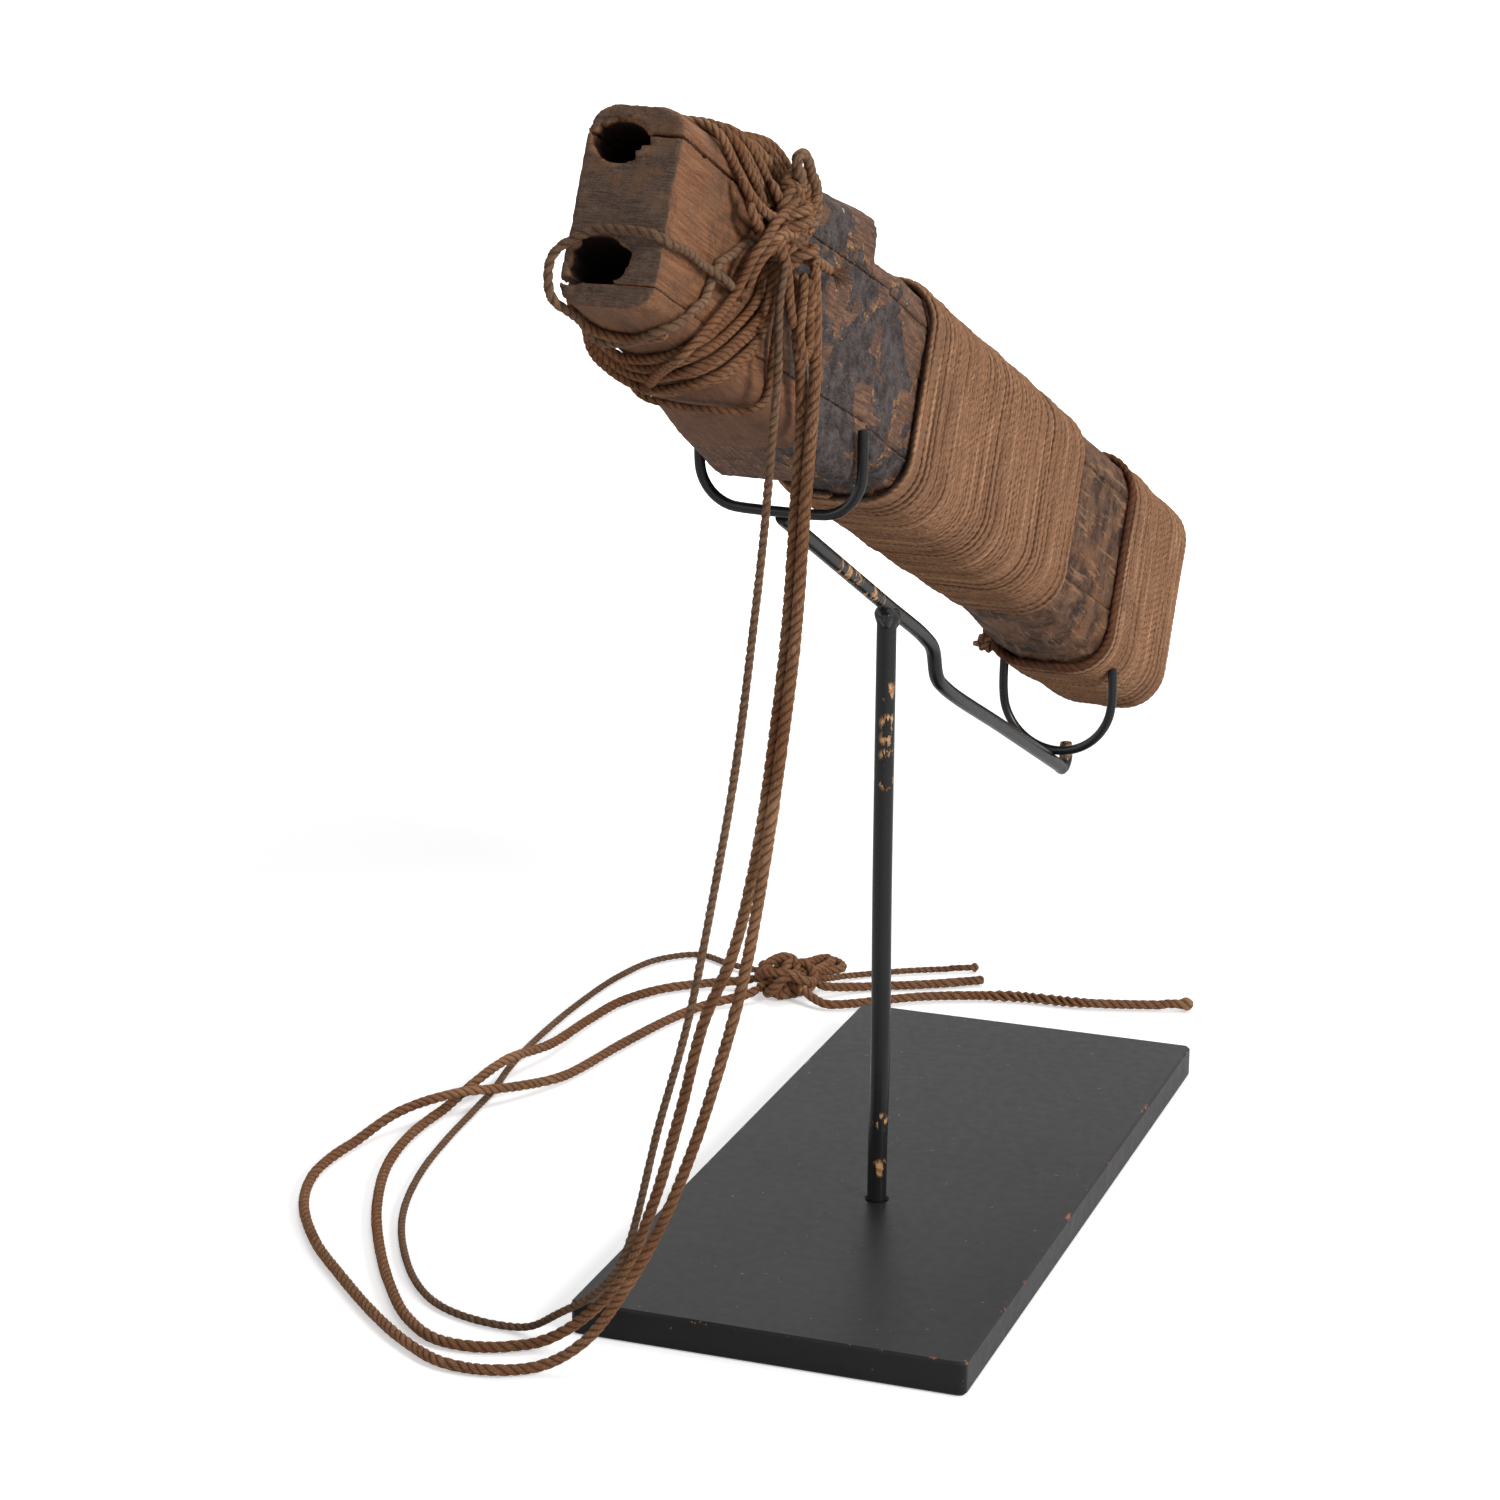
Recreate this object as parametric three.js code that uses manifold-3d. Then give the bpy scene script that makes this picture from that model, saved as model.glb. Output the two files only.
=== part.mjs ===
// Two-voiced wooden duct whistle, lashed with cord, resting on its fitted metal display stand.
// Millimetres, +Z up. The origin is the centre of the base plate's underside.
// The whistle has a frame of its own: x across, y from the mouth end to the tail, z up from its axis.

import * as THREE from 'three';
import { mergeVertices } from 'three/addons/utils/BufferGeometryUtils.js';
import Module from 'manifold-3d';

const wasm = await Module();
wasm.setup();

// Shared fits
const touchGap = 0.3;
const cutOverrun = 3;

// Stand: plate and rods
const plateWidth = 127;
const plateLength = 287;
const plateThickness = 11;
const plateCornerRadius = 2.5;
const plateBevel = 0.8;
const postDiameter = 6.35;
const postOffset = -33.5;
const postFootRecess = 1;
const armDiameter = 4.76;
const cradleDiameter = 3.2;
const standYaw = THREE.MathUtils.degToRad(4);

// Stand: the arm's side line, measured from the post's axis
const armHeightAtPost = 211.4;
const armSlope = THREE.MathUtils.degToRad(28.2);
const armFrontReach = 83.8;
const joggleStart = 38;
const joggleLength = 10;
const joggleDrop = 16.8;
const armRearSlope = THREE.MathUtils.degToRad(26);
const stubLength = 3.4;
const stubRise = 8.5;
const collarHeight = 4;
const collarWall = 1.2;

// Stand: the two bent wire cradles
const frontCradleHalfWidth = 25.6;
const frontCradleBend = 13;
const frontCradleHeight = 26;
const rearCradleHalfWidth = 20.5;
const rearCradleHeight = 32.5;

// Whistle: place of its axis
const whistleTilt = THREE.MathUtils.degToRad(24.6);
const axisAboveArm = 60;
const axisHeightOverPost = armHeightAtPost + axisAboveArm;
const mouthToPost = 209.5;

// Whistle: body sizes
const whistleLength = 467;
const neckLength = 44;
const topLipStation = 120;
const lipStation = 134;
const windowLength = 14;
const bindingPastLip = 39;
const bindingStart = lipStation + bindingPastLip;
const bindingEnd = whistleLength * 0.7088;
const tailBindingStart = whistleLength * 0.848;
const neckHalfWidth = 14;
const lipHalfWidth = 23.6;
const bodyHalfWidth = 20.6;
const collarHalfWidth = 21.8;
const mouthTop = 28;
const neckTop = 31;
const lipTop = 38.5;
const windowTop = 27;
const bodyTop = 33;
const mouthDepth = 26.5;
const neckDepth = 30.5;
const lipDepth = 39.5;
const bodyDepth = 32.5;
const tailDepth = 40.5;
const seamHeight = 20;
const seamGap = 0.5;
const bodyCornerRadius = 13;
const neckCornerRadius = 7.5;
const lipCornerRadius = 6;
const lipStep = 2;
const flareSteps = 5;
const widthFlarePower = 0.85;
const depthFlarePower = 0.6;

// Stand: the rear cradle sits under the tail binding, and the arm runs on past it
const rearSeatInset = 55.3;
const rearSeatRun = whistleLength - rearSeatInset - mouthToPost;
const rearCradleReach = rearSeatRun * Math.cos(whistleTilt) - tailDepth * Math.sin(whistleTilt);
const armPastCradle = 8;
const armRearReach = rearCradleReach + armPastCradle;

// Whistle: wind channels and windows
const windowHalfWidth = 14;
const tailWall = 27;
const chamberEnd = whistleLength - tailWall;
const channelHalfWidth = 12;
const chamberHalfWidth = 13;
const channelHalfHeight = 5;
const chamberHalfHeight = 8;
const channelSides = 12;
const mouthHoles = {
  top: { x: -4, z: 18, halfWidth: 8.2, halfHeight: 6.2 },
  bottom: { x: -4.2, z: -13.8, halfWidth: 8.8, halfHeight: 6.9 },
};

// Cords
const bindingCord = 2.4;
const tailCord = 2;
const headCord = 2.8;
const ringCord = 3;
const thickCord = 3.7;
const thinCord = 2.6;
const loopCord = 2.2;
const headLashing = { start: 27, end: 52, turnStation: 73 };
const lashingLean = Math.tan(whistleTilt);
const floorKnotPlace = { x: -104, y: 171, z: 7, halfX: 12, halfY: 13, halfZ: 6.5 };
const mainKnotPlace = { x: 25.4, y: 53, z: 15, halfX: 6.5, halfY: 13, halfZ: 10 };
const mainPitch = 3.06;
const tailPitch = 2.62;
const headTurns = 6;
const windingSides = 4;
const cordSides = 8;
const exitSink = 0.2;
const exitBearings = {
  thin: 135,
  left: 182,
  right: 236,
  bightOut: 108,
  bightBack: 74,
  tailThin: 44,
  tailShort: 12,
  tailLong: -32,
};
const cordSteps = 30;
const tailSteps = 5;

const woodColor = 0x5f4636;
const materials = {
  stand: new THREE.MeshStandardMaterial({ color: 0x131211, roughness: 0.42, metalness: 0.5 }),
  braze: new THREE.MeshStandardMaterial({ color: 0x1a1714, roughness: 0.5, metalness: 0.5 }),
  wood: new THREE.MeshStandardMaterial({ color: woodColor, roughness: 0.82, metalness: 0 }),
  darkWood: new THREE.MeshStandardMaterial({ color: 0x2f231c, roughness: 0.7, metalness: 0 }),
  cord: new THREE.MeshStandardMaterial({ color: 0x6e4c33, roughness: 0.92, metalness: 0 }),
  darkCord: new THREE.MeshStandardMaterial({ color: 0x33261d, roughness: 0.9, metalness: 0 }),
};

const part = new THREE.Group();
const stand = new THREE.Group();
const whistle = new THREE.Group();

function addMesh(parent, name, geometry, material) {
  const mesh = new THREE.Mesh(geometry, material);
  mesh.name = name;
  parent.add(mesh);
  return mesh;
}

// Joins rings of equal point counts into one closed skin, with flat ends or as a closed ring.
function loft(rings, closedRing = false) {
  const count = rings[0].length;
  const positions = rings.flat().flatMap((point) => [point.x, point.y, point.z]);
  const index = [];
  const spans = closedRing ? rings.length : rings.length - 1;
  for (let i = 0; i < spans; i++) {
    const here = i * count;
    const next = ((i + 1) % rings.length) * count;
    for (let j = 0; j < count; j++) {
      const k = (j + 1) % count;
      index.push(here + j, next + j, next + k, here + j, next + k, here + k);
    }
  }
  if (!closedRing) {
    const last = (rings.length - 1) * count;
    for (let j = 1; j < count - 1; j++) {
      index.push(0, j, j + 1, last, last + j + 1, last + j);
    }
  }
  const geometry = new THREE.BufferGeometry();
  geometry.setAttribute('position', new THREE.Float32BufferAttribute(positions, 3));
  geometry.setIndex(signedVolume(positions, index) < 0 ? index.reverse() : index);
  return geometry;
}

// Positive where the triangles face out of the body.
function signedVolume(positions, index) {
  const corners = [new THREE.Vector3(), new THREE.Vector3(), new THREE.Vector3()];
  let volume = 0;
  for (let i = 0; i < index.length; i += 3) {
    corners.forEach((point, j) => point.fromArray(positions, 3 * index[i + j]));
    volume += corners[0].dot(corners[1].cross(corners[2]));
  }
  return volume;
}

function toSolid(geometry) {
  const plain = geometry.clone();
  plain.deleteAttribute('normal');
  plain.deleteAttribute('uv');
  const merged = mergeVertices(plain);
  return new wasm.Manifold(new wasm.Mesh({
    numProp: 3,
    vertProperties: Float32Array.from(merged.attributes.position.array),
    triVerts: Uint32Array.from(merged.index.array),
  }));
}

function toGeometry(solid) {
  const mesh = solid.getMesh();
  const geometry = new THREE.BufferGeometry();
  geometry.setAttribute('position', new THREE.BufferAttribute(mesh.vertProperties, 3));
  geometry.setIndex(new THREE.BufferAttribute(mesh.triVerts, 1));
  return geometry;
}

function circle(radius, sides) {
  const shape = new THREE.Shape();
  for (let i = 0; i < sides; i++) {
    const angle = 2 * Math.PI * i / sides;
    const x = radius * Math.cos(angle);
    const y = radius * Math.sin(angle);
    if (i === 0) {
      shape.moveTo(x, y);
    } else {
      shape.lineTo(x, y);
    }
  }
  shape.closePath();
  return shape;
}

function tube(curve, diameter, steps, sides = cordSides) {
  return new THREE.ExtrudeGeometry(circle(diameter / 2, sides), { extrudePath: curve, steps });
}

function smooth(points) {
  return new THREE.CatmullRomCurve3(points.map((point) => new THREE.Vector3(...point)));
}

function mix(a, b, share) {
  return a + (b - a) * share;
}

// The whistle's outer form: lines of [station, size] pairs along its length, straight between them.
const windowEnd = lipStation + lipStep + windowLength;
const topWindowEnd = topLipStation + lipStep + windowLength;
const collarStart = bindingEnd + lipStep;
const collarEnd = tailBindingStart - 2 * lipStep;
const collarRise = collarHalfWidth - bodyHalfWidth;

function flareLine(start, end, power) {
  const points = [];
  for (let i = 1; i <= flareSteps; i++) {
    const share = i / flareSteps;
    points.push([mix(neckLength, lipStation, share), mix(start, end, share ** power)]);
  }
  return points;
}

const widthLine = [
  [0, neckHalfWidth],
  [neckLength, neckHalfWidth],
  ...flareLine(neckHalfWidth, lipHalfWidth, widthFlarePower),
  [lipStation + lipStep, collarHalfWidth],
  [windowEnd, collarHalfWidth],
  [bindingStart - lipStep, bodyHalfWidth],
  [bindingEnd, bodyHalfWidth],
  [collarStart, collarHalfWidth],
  [collarEnd, collarHalfWidth],
  [tailBindingStart - lipStep, bodyHalfWidth],
  [whistleLength, bodyHalfWidth],
];
const topLine = [
  [0, mouthTop],
  [neckLength, neckTop],
  [topLipStation, lipTop],
  [topLipStation + lipStep, windowTop],
  [topWindowEnd, windowTop],
  [bindingStart - lipStep, bodyTop],
  [bindingEnd, bodyTop],
  [collarStart, bodyTop + collarRise],
  [collarEnd, bodyTop + collarRise],
  [tailBindingStart - lipStep, bodyTop],
  [whistleLength, bodyTop],
];
const depthLine = [
  [0, mouthDepth],
  [neckLength, neckDepth],
  ...flareLine(neckDepth, lipDepth, depthFlarePower),
  [lipStation + lipStep, windowTop],
  [windowEnd, windowTop],
  [bindingStart - lipStep, bodyDepth],
  [bindingEnd, bodyDepth],
  [collarStart, bodyDepth + collarRise],
  [collarEnd, tailDepth],
  [whistleLength, tailDepth],
];
const roundLine = [
  [0, neckCornerRadius],
  [neckLength, neckCornerRadius],
  [lipStation, lipCornerRadius],
  [windowEnd, lipCornerRadius],
  [bindingStart - lipStep, bodyCornerRadius],
  [whistleLength, bodyCornerRadius],
];

function valueAt(line, y) {
  const next = line.findIndex(([station]) => station >= y);
  if (next === 0) {
    return line[0][1];
  }
  if (next < 0) {
    return line[line.length - 1][1];
  }
  const [y0, value0] = line[next - 1];
  const [y1, value1] = line[next];
  return mix(value0, value1, (y - y0) / (y1 - y0));
}

function sectionAt(y) {
  const width = valueAt(widthLine, y);
  const top = valueAt(topLine, y);
  const depth = valueAt(depthLine, y);
  const round = valueAt(roundLine, y);
  return { width, top, depth, round };
}

const allStations = [widthLine, topLine, depthLine].flat().map(([y]) => y);
const stations = [...new Set(allStations)].sort((a, b) => a - b);

// One corner of the section as three points, an eighth turn apart.
function corner(section, side, up, offset) {
  const height = up > 0 ? section.top : section.depth;
  const radius = Math.min(section.round, height - seamHeight - seamGap);
  const points = [];
  for (const share of [0, 0.5, 1]) {
    const angle = share * Math.PI / 2;
    const reach = radius + offset;
    const x = side * (section.width - radius + reach * Math.cos(angle));
    const z = up * (height - radius + reach * Math.sin(angle));
    points.push(new THREE.Vector2(x, z));
  }
  return side === up ? points : points.reverse();
}

// The whole outline, four corners of three points, seen from the tail towards the mouth.
function outline(y, offset) {
  const section = sectionAt(y);
  return [
    ...corner(section, 1, 1, offset),
    ...corner(section, -1, 1, offset),
    ...corner(section, -1, -1, offset),
    ...corner(section, 1, -1, offset),
  ];
}

function boardRing(y, up) {
  const section = sectionAt(y);
  const seam = up * (seamHeight + seamGap / 2);
  const points = [
    new THREE.Vector2(section.width, seam),
    ...(up > 0 ? corner(section, 1, 1, 0) : corner(section, 1, -1, 0).reverse()),
    ...(up > 0 ? corner(section, -1, 1, 0) : corner(section, -1, -1, 0).reverse()),
    new THREE.Vector2(-section.width, seam),
  ];
  const ordered = up > 0 ? points.reverse() : points;
  return ordered.map((point) => new THREE.Vector3(point.x, y, point.y));
}

function middleRing(y) {
  const { width } = sectionAt(y);
  const half = seamHeight - seamGap / 2;
  return [[-width, half], [width, half], [width, -half], [-width, -half]]
    .map(([x, z]) => new THREE.Vector3(x, y, z));
}

function ellipseRing(y, x, z, halfWidth, halfHeight) {
  const points = [];
  for (let i = 0; i < channelSides; i++) {
    const angle = -2 * Math.PI * (i + 0.5) / channelSides;
    const across = x + halfWidth * Math.cos(angle);
    points.push(new THREE.Vector3(across, y, z + halfHeight * Math.sin(angle)));
  }
  return points;
}

// A wind channel runs from its blow hole to the window, and a chamber goes on to the closed tail.
function channel(up) {
  const hole = up > 0 ? mouthHoles.top : mouthHoles.bottom;
  const channelHeight = up * (seamHeight - channelHalfHeight / 2);
  const chamberHeight = up * (seamHeight - chamberHalfHeight / 2);
  const lip = up > 0 ? topLipStation : lipStation;
  return loft([
    ellipseRing(-cutOverrun, hole.x, hole.z, hole.halfWidth, hole.halfHeight),
    ellipseRing(hole.halfWidth, hole.x, hole.z, hole.halfWidth, hole.halfHeight),
    ellipseRing(neckLength, 0, channelHeight, channelHalfWidth, channelHalfHeight),
    ellipseRing(lip, 0, channelHeight, channelHalfWidth, channelHalfHeight),
    ellipseRing(lip + lipStep + windowLength, 0, chamberHeight, chamberHalfWidth, chamberHalfHeight),
    ellipseRing(chamberEnd, 0, chamberHeight, chamberHalfWidth, chamberHalfHeight),
  ]);
}

function windowCut(up) {
  const bottom = seamHeight - chamberHalfHeight / 2;
  const top = windowTop + cutOverrun;
  const box = new THREE.BoxGeometry(2 * windowHalfWidth, windowLength, top - bottom);
  const lip = up > 0 ? topLipStation : lipStation;
  box.translate(0, lip + lipStep + windowLength / 2, up * (top + bottom) / 2);
  return box;
}

function board(up) {
  const rings = stations.map((y) => boardRing(y, up));
  const solid = toSolid(loft(rings)).subtract(toSolid(channel(up))).subtract(toSolid(windowCut(up)));
  return toGeometry(solid);
}

function middleBlock() {
  const rings = stations.map((y) => middleRing(y));
  return toGeometry(toSolid(loft(rings)).subtract(toSolid(channel(1))).subtract(toSolid(channel(-1))));
}

// A ring of the cord's own section, turned to face across the winding.
function cordRing(centre, outward, radius) {
  const points = [];
  for (let i = 0; i < windingSides; i++) {
    const angle = 2 * Math.PI * i / windingSides;
    const radial = radius * Math.cos(angle);
    const along = radius * Math.sin(angle);
    points.push(new THREE.Vector3(
      centre.x + outward.x * radial,
      centre.y + along,
      centre.z + outward.y * radial,
    ));
  }
  return points;
}

function windingCentre(step, stepsPerTurn, start, pitch, offset, lean) {
  const square = start + pitch * step / stepsPerTurn;
  const y = square + lean * outline(square, 0)[step % stepsPerTurn].y;
  const inner = outline(y, 0)[step % stepsPerTurn];
  const outer = outline(y, offset)[step % stepsPerTurn];
  const outward = outer.clone().sub(inner).normalize();
  return { centre: new THREE.Vector3(outer.x, y, outer.y), outward };
}

// Helical turns laid on the whistle's outline; the least gap between turns is printed.
function winding(name, start, end, turns, diameter, lean = 0, gap = touchGap) {
  const stepsPerTurn = outline(start, 0).length;
  const radius = diameter / 2;
  const pitch = (end - start - diameter) / turns;
  const steps = turns * stepsPerTurn;
  const rings = [];
  const centres = [];
  for (let step = 0; step <= steps; step++) {
    const place = windingCentre(step, stepsPerTurn, start + radius, pitch, radius + gap, lean);
    const { centre, outward } = place;
    centres.push(centre);
    rings.push(cordRing(centre, outward, radius));
  }
  console.log(`${name}: least gap between turns ${leastGap(centres, stepsPerTurn, diameter).toFixed(2)} mm`);
  return loft(rings);
}

function leastGap(centres, stepsPerTurn, diameter) {
  let least = Infinity;
  for (let i = 0; i < centres.length; i++) {
    for (let j = i + Math.floor(stepsPerTurn / 2); j < centres.length; j++) {
      least = Math.min(least, centres[i].distanceTo(centres[j]) - diameter);
    }
  }
  return least;
}

// A single closed turn of cord.
function closedTurn(y, diameter, lean = 0) {
  const radius = diameter / 2;
  const count = outline(y, 0).length;
  const rings = [];
  for (let step = 0; step < count; step++) {
    const { centre, outward } = windingCentre(step, count, y, 0, radius + touchGap, lean);
    rings.push(cordRing(centre, outward, radius));
  }
  return loft(rings, true);
}

function knotAt({ x, y, z, halfX, halfY, halfZ }) {
  const ball = new THREE.SphereGeometry(1, 12, 8);
  return ball.scale(halfX, halfY, halfZ).translate(x, y, z);
}

function addPlate() {
  const halfWidth = plateWidth / 2 - plateBevel;
  const halfLength = plateLength / 2 - plateBevel;
  const radius = plateCornerRadius - plateBevel;
  const shape = new THREE.Shape();
  shape.moveTo(-halfWidth + radius, -halfLength);
  shape.lineTo(halfWidth - radius, -halfLength);
  shape.absarc(halfWidth - radius, -halfLength + radius, radius, -Math.PI / 2, 0);
  shape.lineTo(halfWidth, halfLength - radius);
  shape.absarc(halfWidth - radius, halfLength - radius, radius, 0, Math.PI / 2);
  shape.lineTo(-halfWidth + radius, halfLength);
  shape.absarc(-halfWidth + radius, halfLength - radius, radius, Math.PI / 2, Math.PI);
  shape.lineTo(-halfWidth, -halfLength + radius);
  shape.absarc(-halfWidth + radius, -halfLength + radius, radius, Math.PI, 1.5 * Math.PI);
  const hole = new THREE.Path();
  hole.absarc(0, postOffset, postDiameter / 2 + touchGap + plateBevel, 0, 2 * Math.PI, true);
  shape.holes.push(hole);
  const geometry = new THREE.ExtrudeGeometry(shape, {
    depth: plateThickness - 2 * plateBevel,
    bevelThickness: plateBevel,
    bevelSize: plateBevel,
    bevelSegments: 1,
    curveSegments: 6,
  });
  geometry.translate(0, 0, plateBevel);
  addMesh(part, 'base_plate', geometry, materials.stand);
}

function addPost() {
  const armRadius = armDiameter / 2;
  const postTop = armHeightAtPost - (armRadius + postDiameter / 2 * Math.sin(armSlope)) / Math.cos(armSlope)
    - touchGap;
  const radius = postDiameter / 2;
  const post = new THREE.CylinderGeometry(radius, radius, postTop - postFootRecess, 16);
  post.rotateX(Math.PI / 2);
  post.translate(0, 0, (postTop + postFootRecess) / 2);
  addMesh(stand, 'post', post, materials.stand);
  const inner = radius + touchGap;
  const outer = inner + collarWall;
  const high = postTop - (outer - radius) * Math.tan(armSlope) - touchGap;
  const low = high - collarHeight;
  const profile = [[inner, low], [outer, low], [outer, high], [inner, high], [inner, low]]
    .map(([x, y]) => new THREE.Vector2(x, y));
  const collar = new THREE.LatheGeometry(profile, 16);
  collar.rotateX(Math.PI / 2);
  addMesh(stand, 'post_collar', collar, materials.braze);
}

function armHeight(reach) {
  if (reach <= joggleStart) {
    return armHeightAtPost - reach * Math.tan(armSlope);
  }
  const joggleEnd = joggleStart + joggleLength;
  const lower = armHeight(joggleStart) - joggleDrop;
  return lower - (reach - joggleEnd) * Math.tan(armRearSlope);
}

function addArm() {
  const joggleEnd = joggleStart + joggleLength;
  const lead = armDiameter;
  const points = [
    [0, -armFrontReach, armHeight(-armFrontReach)],
    [0, 0, armHeightAtPost],
    [0, joggleStart - lead, armHeight(joggleStart - lead)],
    [0, joggleStart + joggleLength * 0.3, armHeight(joggleStart) - joggleDrop * 0.2],
    [0, joggleEnd - joggleLength * 0.3, armHeight(joggleStart) - joggleDrop * 0.8],
    [0, joggleEnd + lead, armHeight(joggleEnd + lead)],
    [0, mix(joggleEnd, armRearReach, 0.5), armHeight(mix(joggleEnd, armRearReach, 0.5))],
    [0, armRearReach - lead, armHeight(armRearReach - lead)],
    [0, armRearReach, armHeight(armRearReach)],
    [0, armRearReach + stubLength, armHeight(armRearReach) + stubRise * 0.3],
    [0, armRearReach + stubLength, armHeight(armRearReach) + stubRise],
  ];
  addMesh(stand, 'arm', tube(smooth(points), armDiameter, 60, 10), materials.stand);
}

// A flat-bottomed cradle: straight prongs, two bends and a level foot across the arm's front end.
function addFrontCradle() {
  const seat = cradleDiameter / 2 + touchGap;
  const reach = armFrontReach + seat * Math.cos(armSlope);
  const foot = armHeight(-armFrontReach) + seat * Math.sin(armSlope) + armDiameter / 4;
  const half = frontCradleHalfWidth;
  const bend = frontCradleBend;
  const arc = 6;
  const points = [[-half, -reach, foot + frontCradleHeight]];
  for (let i = 0; i <= arc; i++) {
    const angle = Math.PI + i / arc * Math.PI / 2;
    points.push([-half + bend + bend * Math.cos(angle), -reach, foot + bend + bend * Math.sin(angle)]);
  }
  for (let i = 0; i <= arc; i++) {
    const angle = 1.5 * Math.PI + i / arc * Math.PI / 2;
    points.push([half - bend + bend * Math.cos(angle), -reach, foot + bend + bend * Math.sin(angle)]);
  }
  points.push([half, -reach, foot + frontCradleHeight]);
  addMesh(stand, 'front_cradle', tube(smooth(points), cradleDiameter, 28), materials.stand);
}

// A round-bottomed cradle: a half circle with short straight prongs.
function addRearCradle() {
  const seat = (armDiameter + cradleDiameter) / 2 / Math.cos(armRearSlope) + touchGap;
  const foot = armHeight(rearCradleReach) + seat;
  const half = rearCradleHalfWidth;
  const arc = 10;
  const points = [[-half, rearCradleReach, foot + rearCradleHeight]];
  for (let i = 0; i <= arc; i++) {
    const angle = Math.PI + i / arc * Math.PI;
    points.push([half * Math.cos(angle), rearCradleReach, foot + half + half * Math.sin(angle)]);
  }
  points.push([half, rearCradleReach, foot + rearCradleHeight]);
  addMesh(stand, 'rear_cradle', tube(smooth(points), cradleDiameter, 28), materials.stand);
}

function addWood() {
  addMesh(whistle, 'top_board', board(1), materials.wood);
  addMesh(whistle, 'middle_block', middleBlock(), materials.wood);
  addMesh(whistle, 'bottom_board', board(-1), materials.wood);
}

function addBindings() {
  const length = (bindingEnd - bindingStart) / 3;
  ['front', 'middle', 'rear'].forEach((place, i) => {
    const start = bindingStart + i * length + touchGap;
    const name = `main_binding_${place}`;
    const turns = Math.floor(length / mainPitch);
    const coil = winding(name, start, start + length - touchGap, turns, bindingCord);
    addMesh(whistle, name, coil, materials.darkCord);
  });
  const tailEnd = whistleLength - touchGap;
  const tailMiddle = mix(tailBindingStart, tailEnd, 0.42);
  const tailSpans = {
    front: [tailBindingStart, tailMiddle],
    rear: [tailMiddle + touchGap, tailEnd],
  };
  for (const [place, [start, end]] of Object.entries(tailSpans)) {
    const name = `tail_binding_${place}`;
    const turns = Math.floor((end - start) / tailPitch);
    addMesh(whistle, name, winding(name, start, end, turns, tailCord), materials.darkCord);
  }
  const ringStation = tailBindingStart - ringCord;
  addMesh(whistle, 'tail_ring_cord', closedTurn(ringStation, ringCord), materials.cord);
  const ring = outline(ringStation, ringCord + 4 * touchGap);
  const knotHalf = ringCord;
  const lowLeft = ring[8];
  const tailKnot = knotAt({
    x: lowLeft.x - knotHalf,
    y: ringStation,
    z: lowLeft.y - knotHalf / 2,
    halfX: knotHalf,
    halfY: knotHalf,
    halfZ: knotHalf,
  });
  addMesh(whistle, 'tail_ring_knot', tailKnot, materials.cord);
}

function addHeadLashing() {
  const { start, end, turnStation } = headLashing;
  const binding = winding('head_binding', start, end, headTurns, headCord, lashingLean, 2 * touchGap);
  addMesh(whistle, 'head_binding', binding, materials.cord);
  addMesh(whistle, 'shoulder_turn', closedTurn(turnStation, headCord, lashingLean), materials.cord);
  addMesh(whistle, 'main_knot', knotAt(mainKnotPlace), materials.cord);
  addKnotLoop();
  addTopStrands();
  addMouthLoop();
}

// A small loop of cord standing up out of the knot.
function addKnotLoop() {
  const { x, y, z, halfZ } = mainKnotPlace;
  const base = z + halfZ + 2 * touchGap;
  const route = [
    [x - thinCord * 0.6, y - thinCord, base],
    [x - thinCord * 0.8, y, base + thinCord * 3],
    [x, y + thinCord * 1.5, base + thinCord * 4.2],
    [x + thinCord * 0.5, y + thinCord * 2.6, base + thinCord * 2.6],
    [x + thinCord * 0.3, y + thinCord, base],
  ];
  addMesh(whistle, 'knot_loop', tube(smooth(route), thinCord, 12, 6), materials.cord);
}

// Strands that cross the top of the neck, from the left side to the knot.
function addTopStrands() {
  const lift = headCord / 2 + 3 * touchGap;
  const { x, y, z, halfY } = mainKnotPlace;
  const front = y - halfY;
  const points = [
    [-neckHalfWidth * 0.4, front - neckLength * 0.7, mouthTop + lift + touchGap],
    [neckHalfWidth * 0.3, front - neckLength * 0.4, mouthTop + lift + touchGap * 6],
    [neckHalfWidth + headCord * 0.7, front - neckLength * 0.16, mouthTop - headCord * 0.3],
    [mix(neckHalfWidth, x, 0.6), front - headCord * 0.8, z + headCord],
    [x - headCord * 0.4, front - headCord * 0.5, z],
  ];
  addMesh(whistle, 'top_strands', tube(smooth(points), headCord, 14, 8), materials.cord);
}

// The loose end that sags round the mouth end; its route is hand chosen.
function addMouthLoop() {
  const route = [
    [16.6, 21, -7],
    [15.9, 10, -7.2],
    [16, 1.2, -7.8],
    [14.9, -1.9, -8],
    [8, -2.2, -7.8],
    [0, -2, -7.6],
    [-10, -2, -10],
    [-15.6, -0.8, -15.5],
    [-15.9, 3, -21],
    [-13.6, 5, -27.2],
    [-6, 8, -29.4],
    [5, 10, -29.6],
    [13.8, 13, -26.3],
    [16, 18, -18],
    [16.6, 21, -12],
  ];
  addMesh(whistle, 'mouth_loop', tube(smooth(route), loopCord, 28), materials.cord);
}

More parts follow.
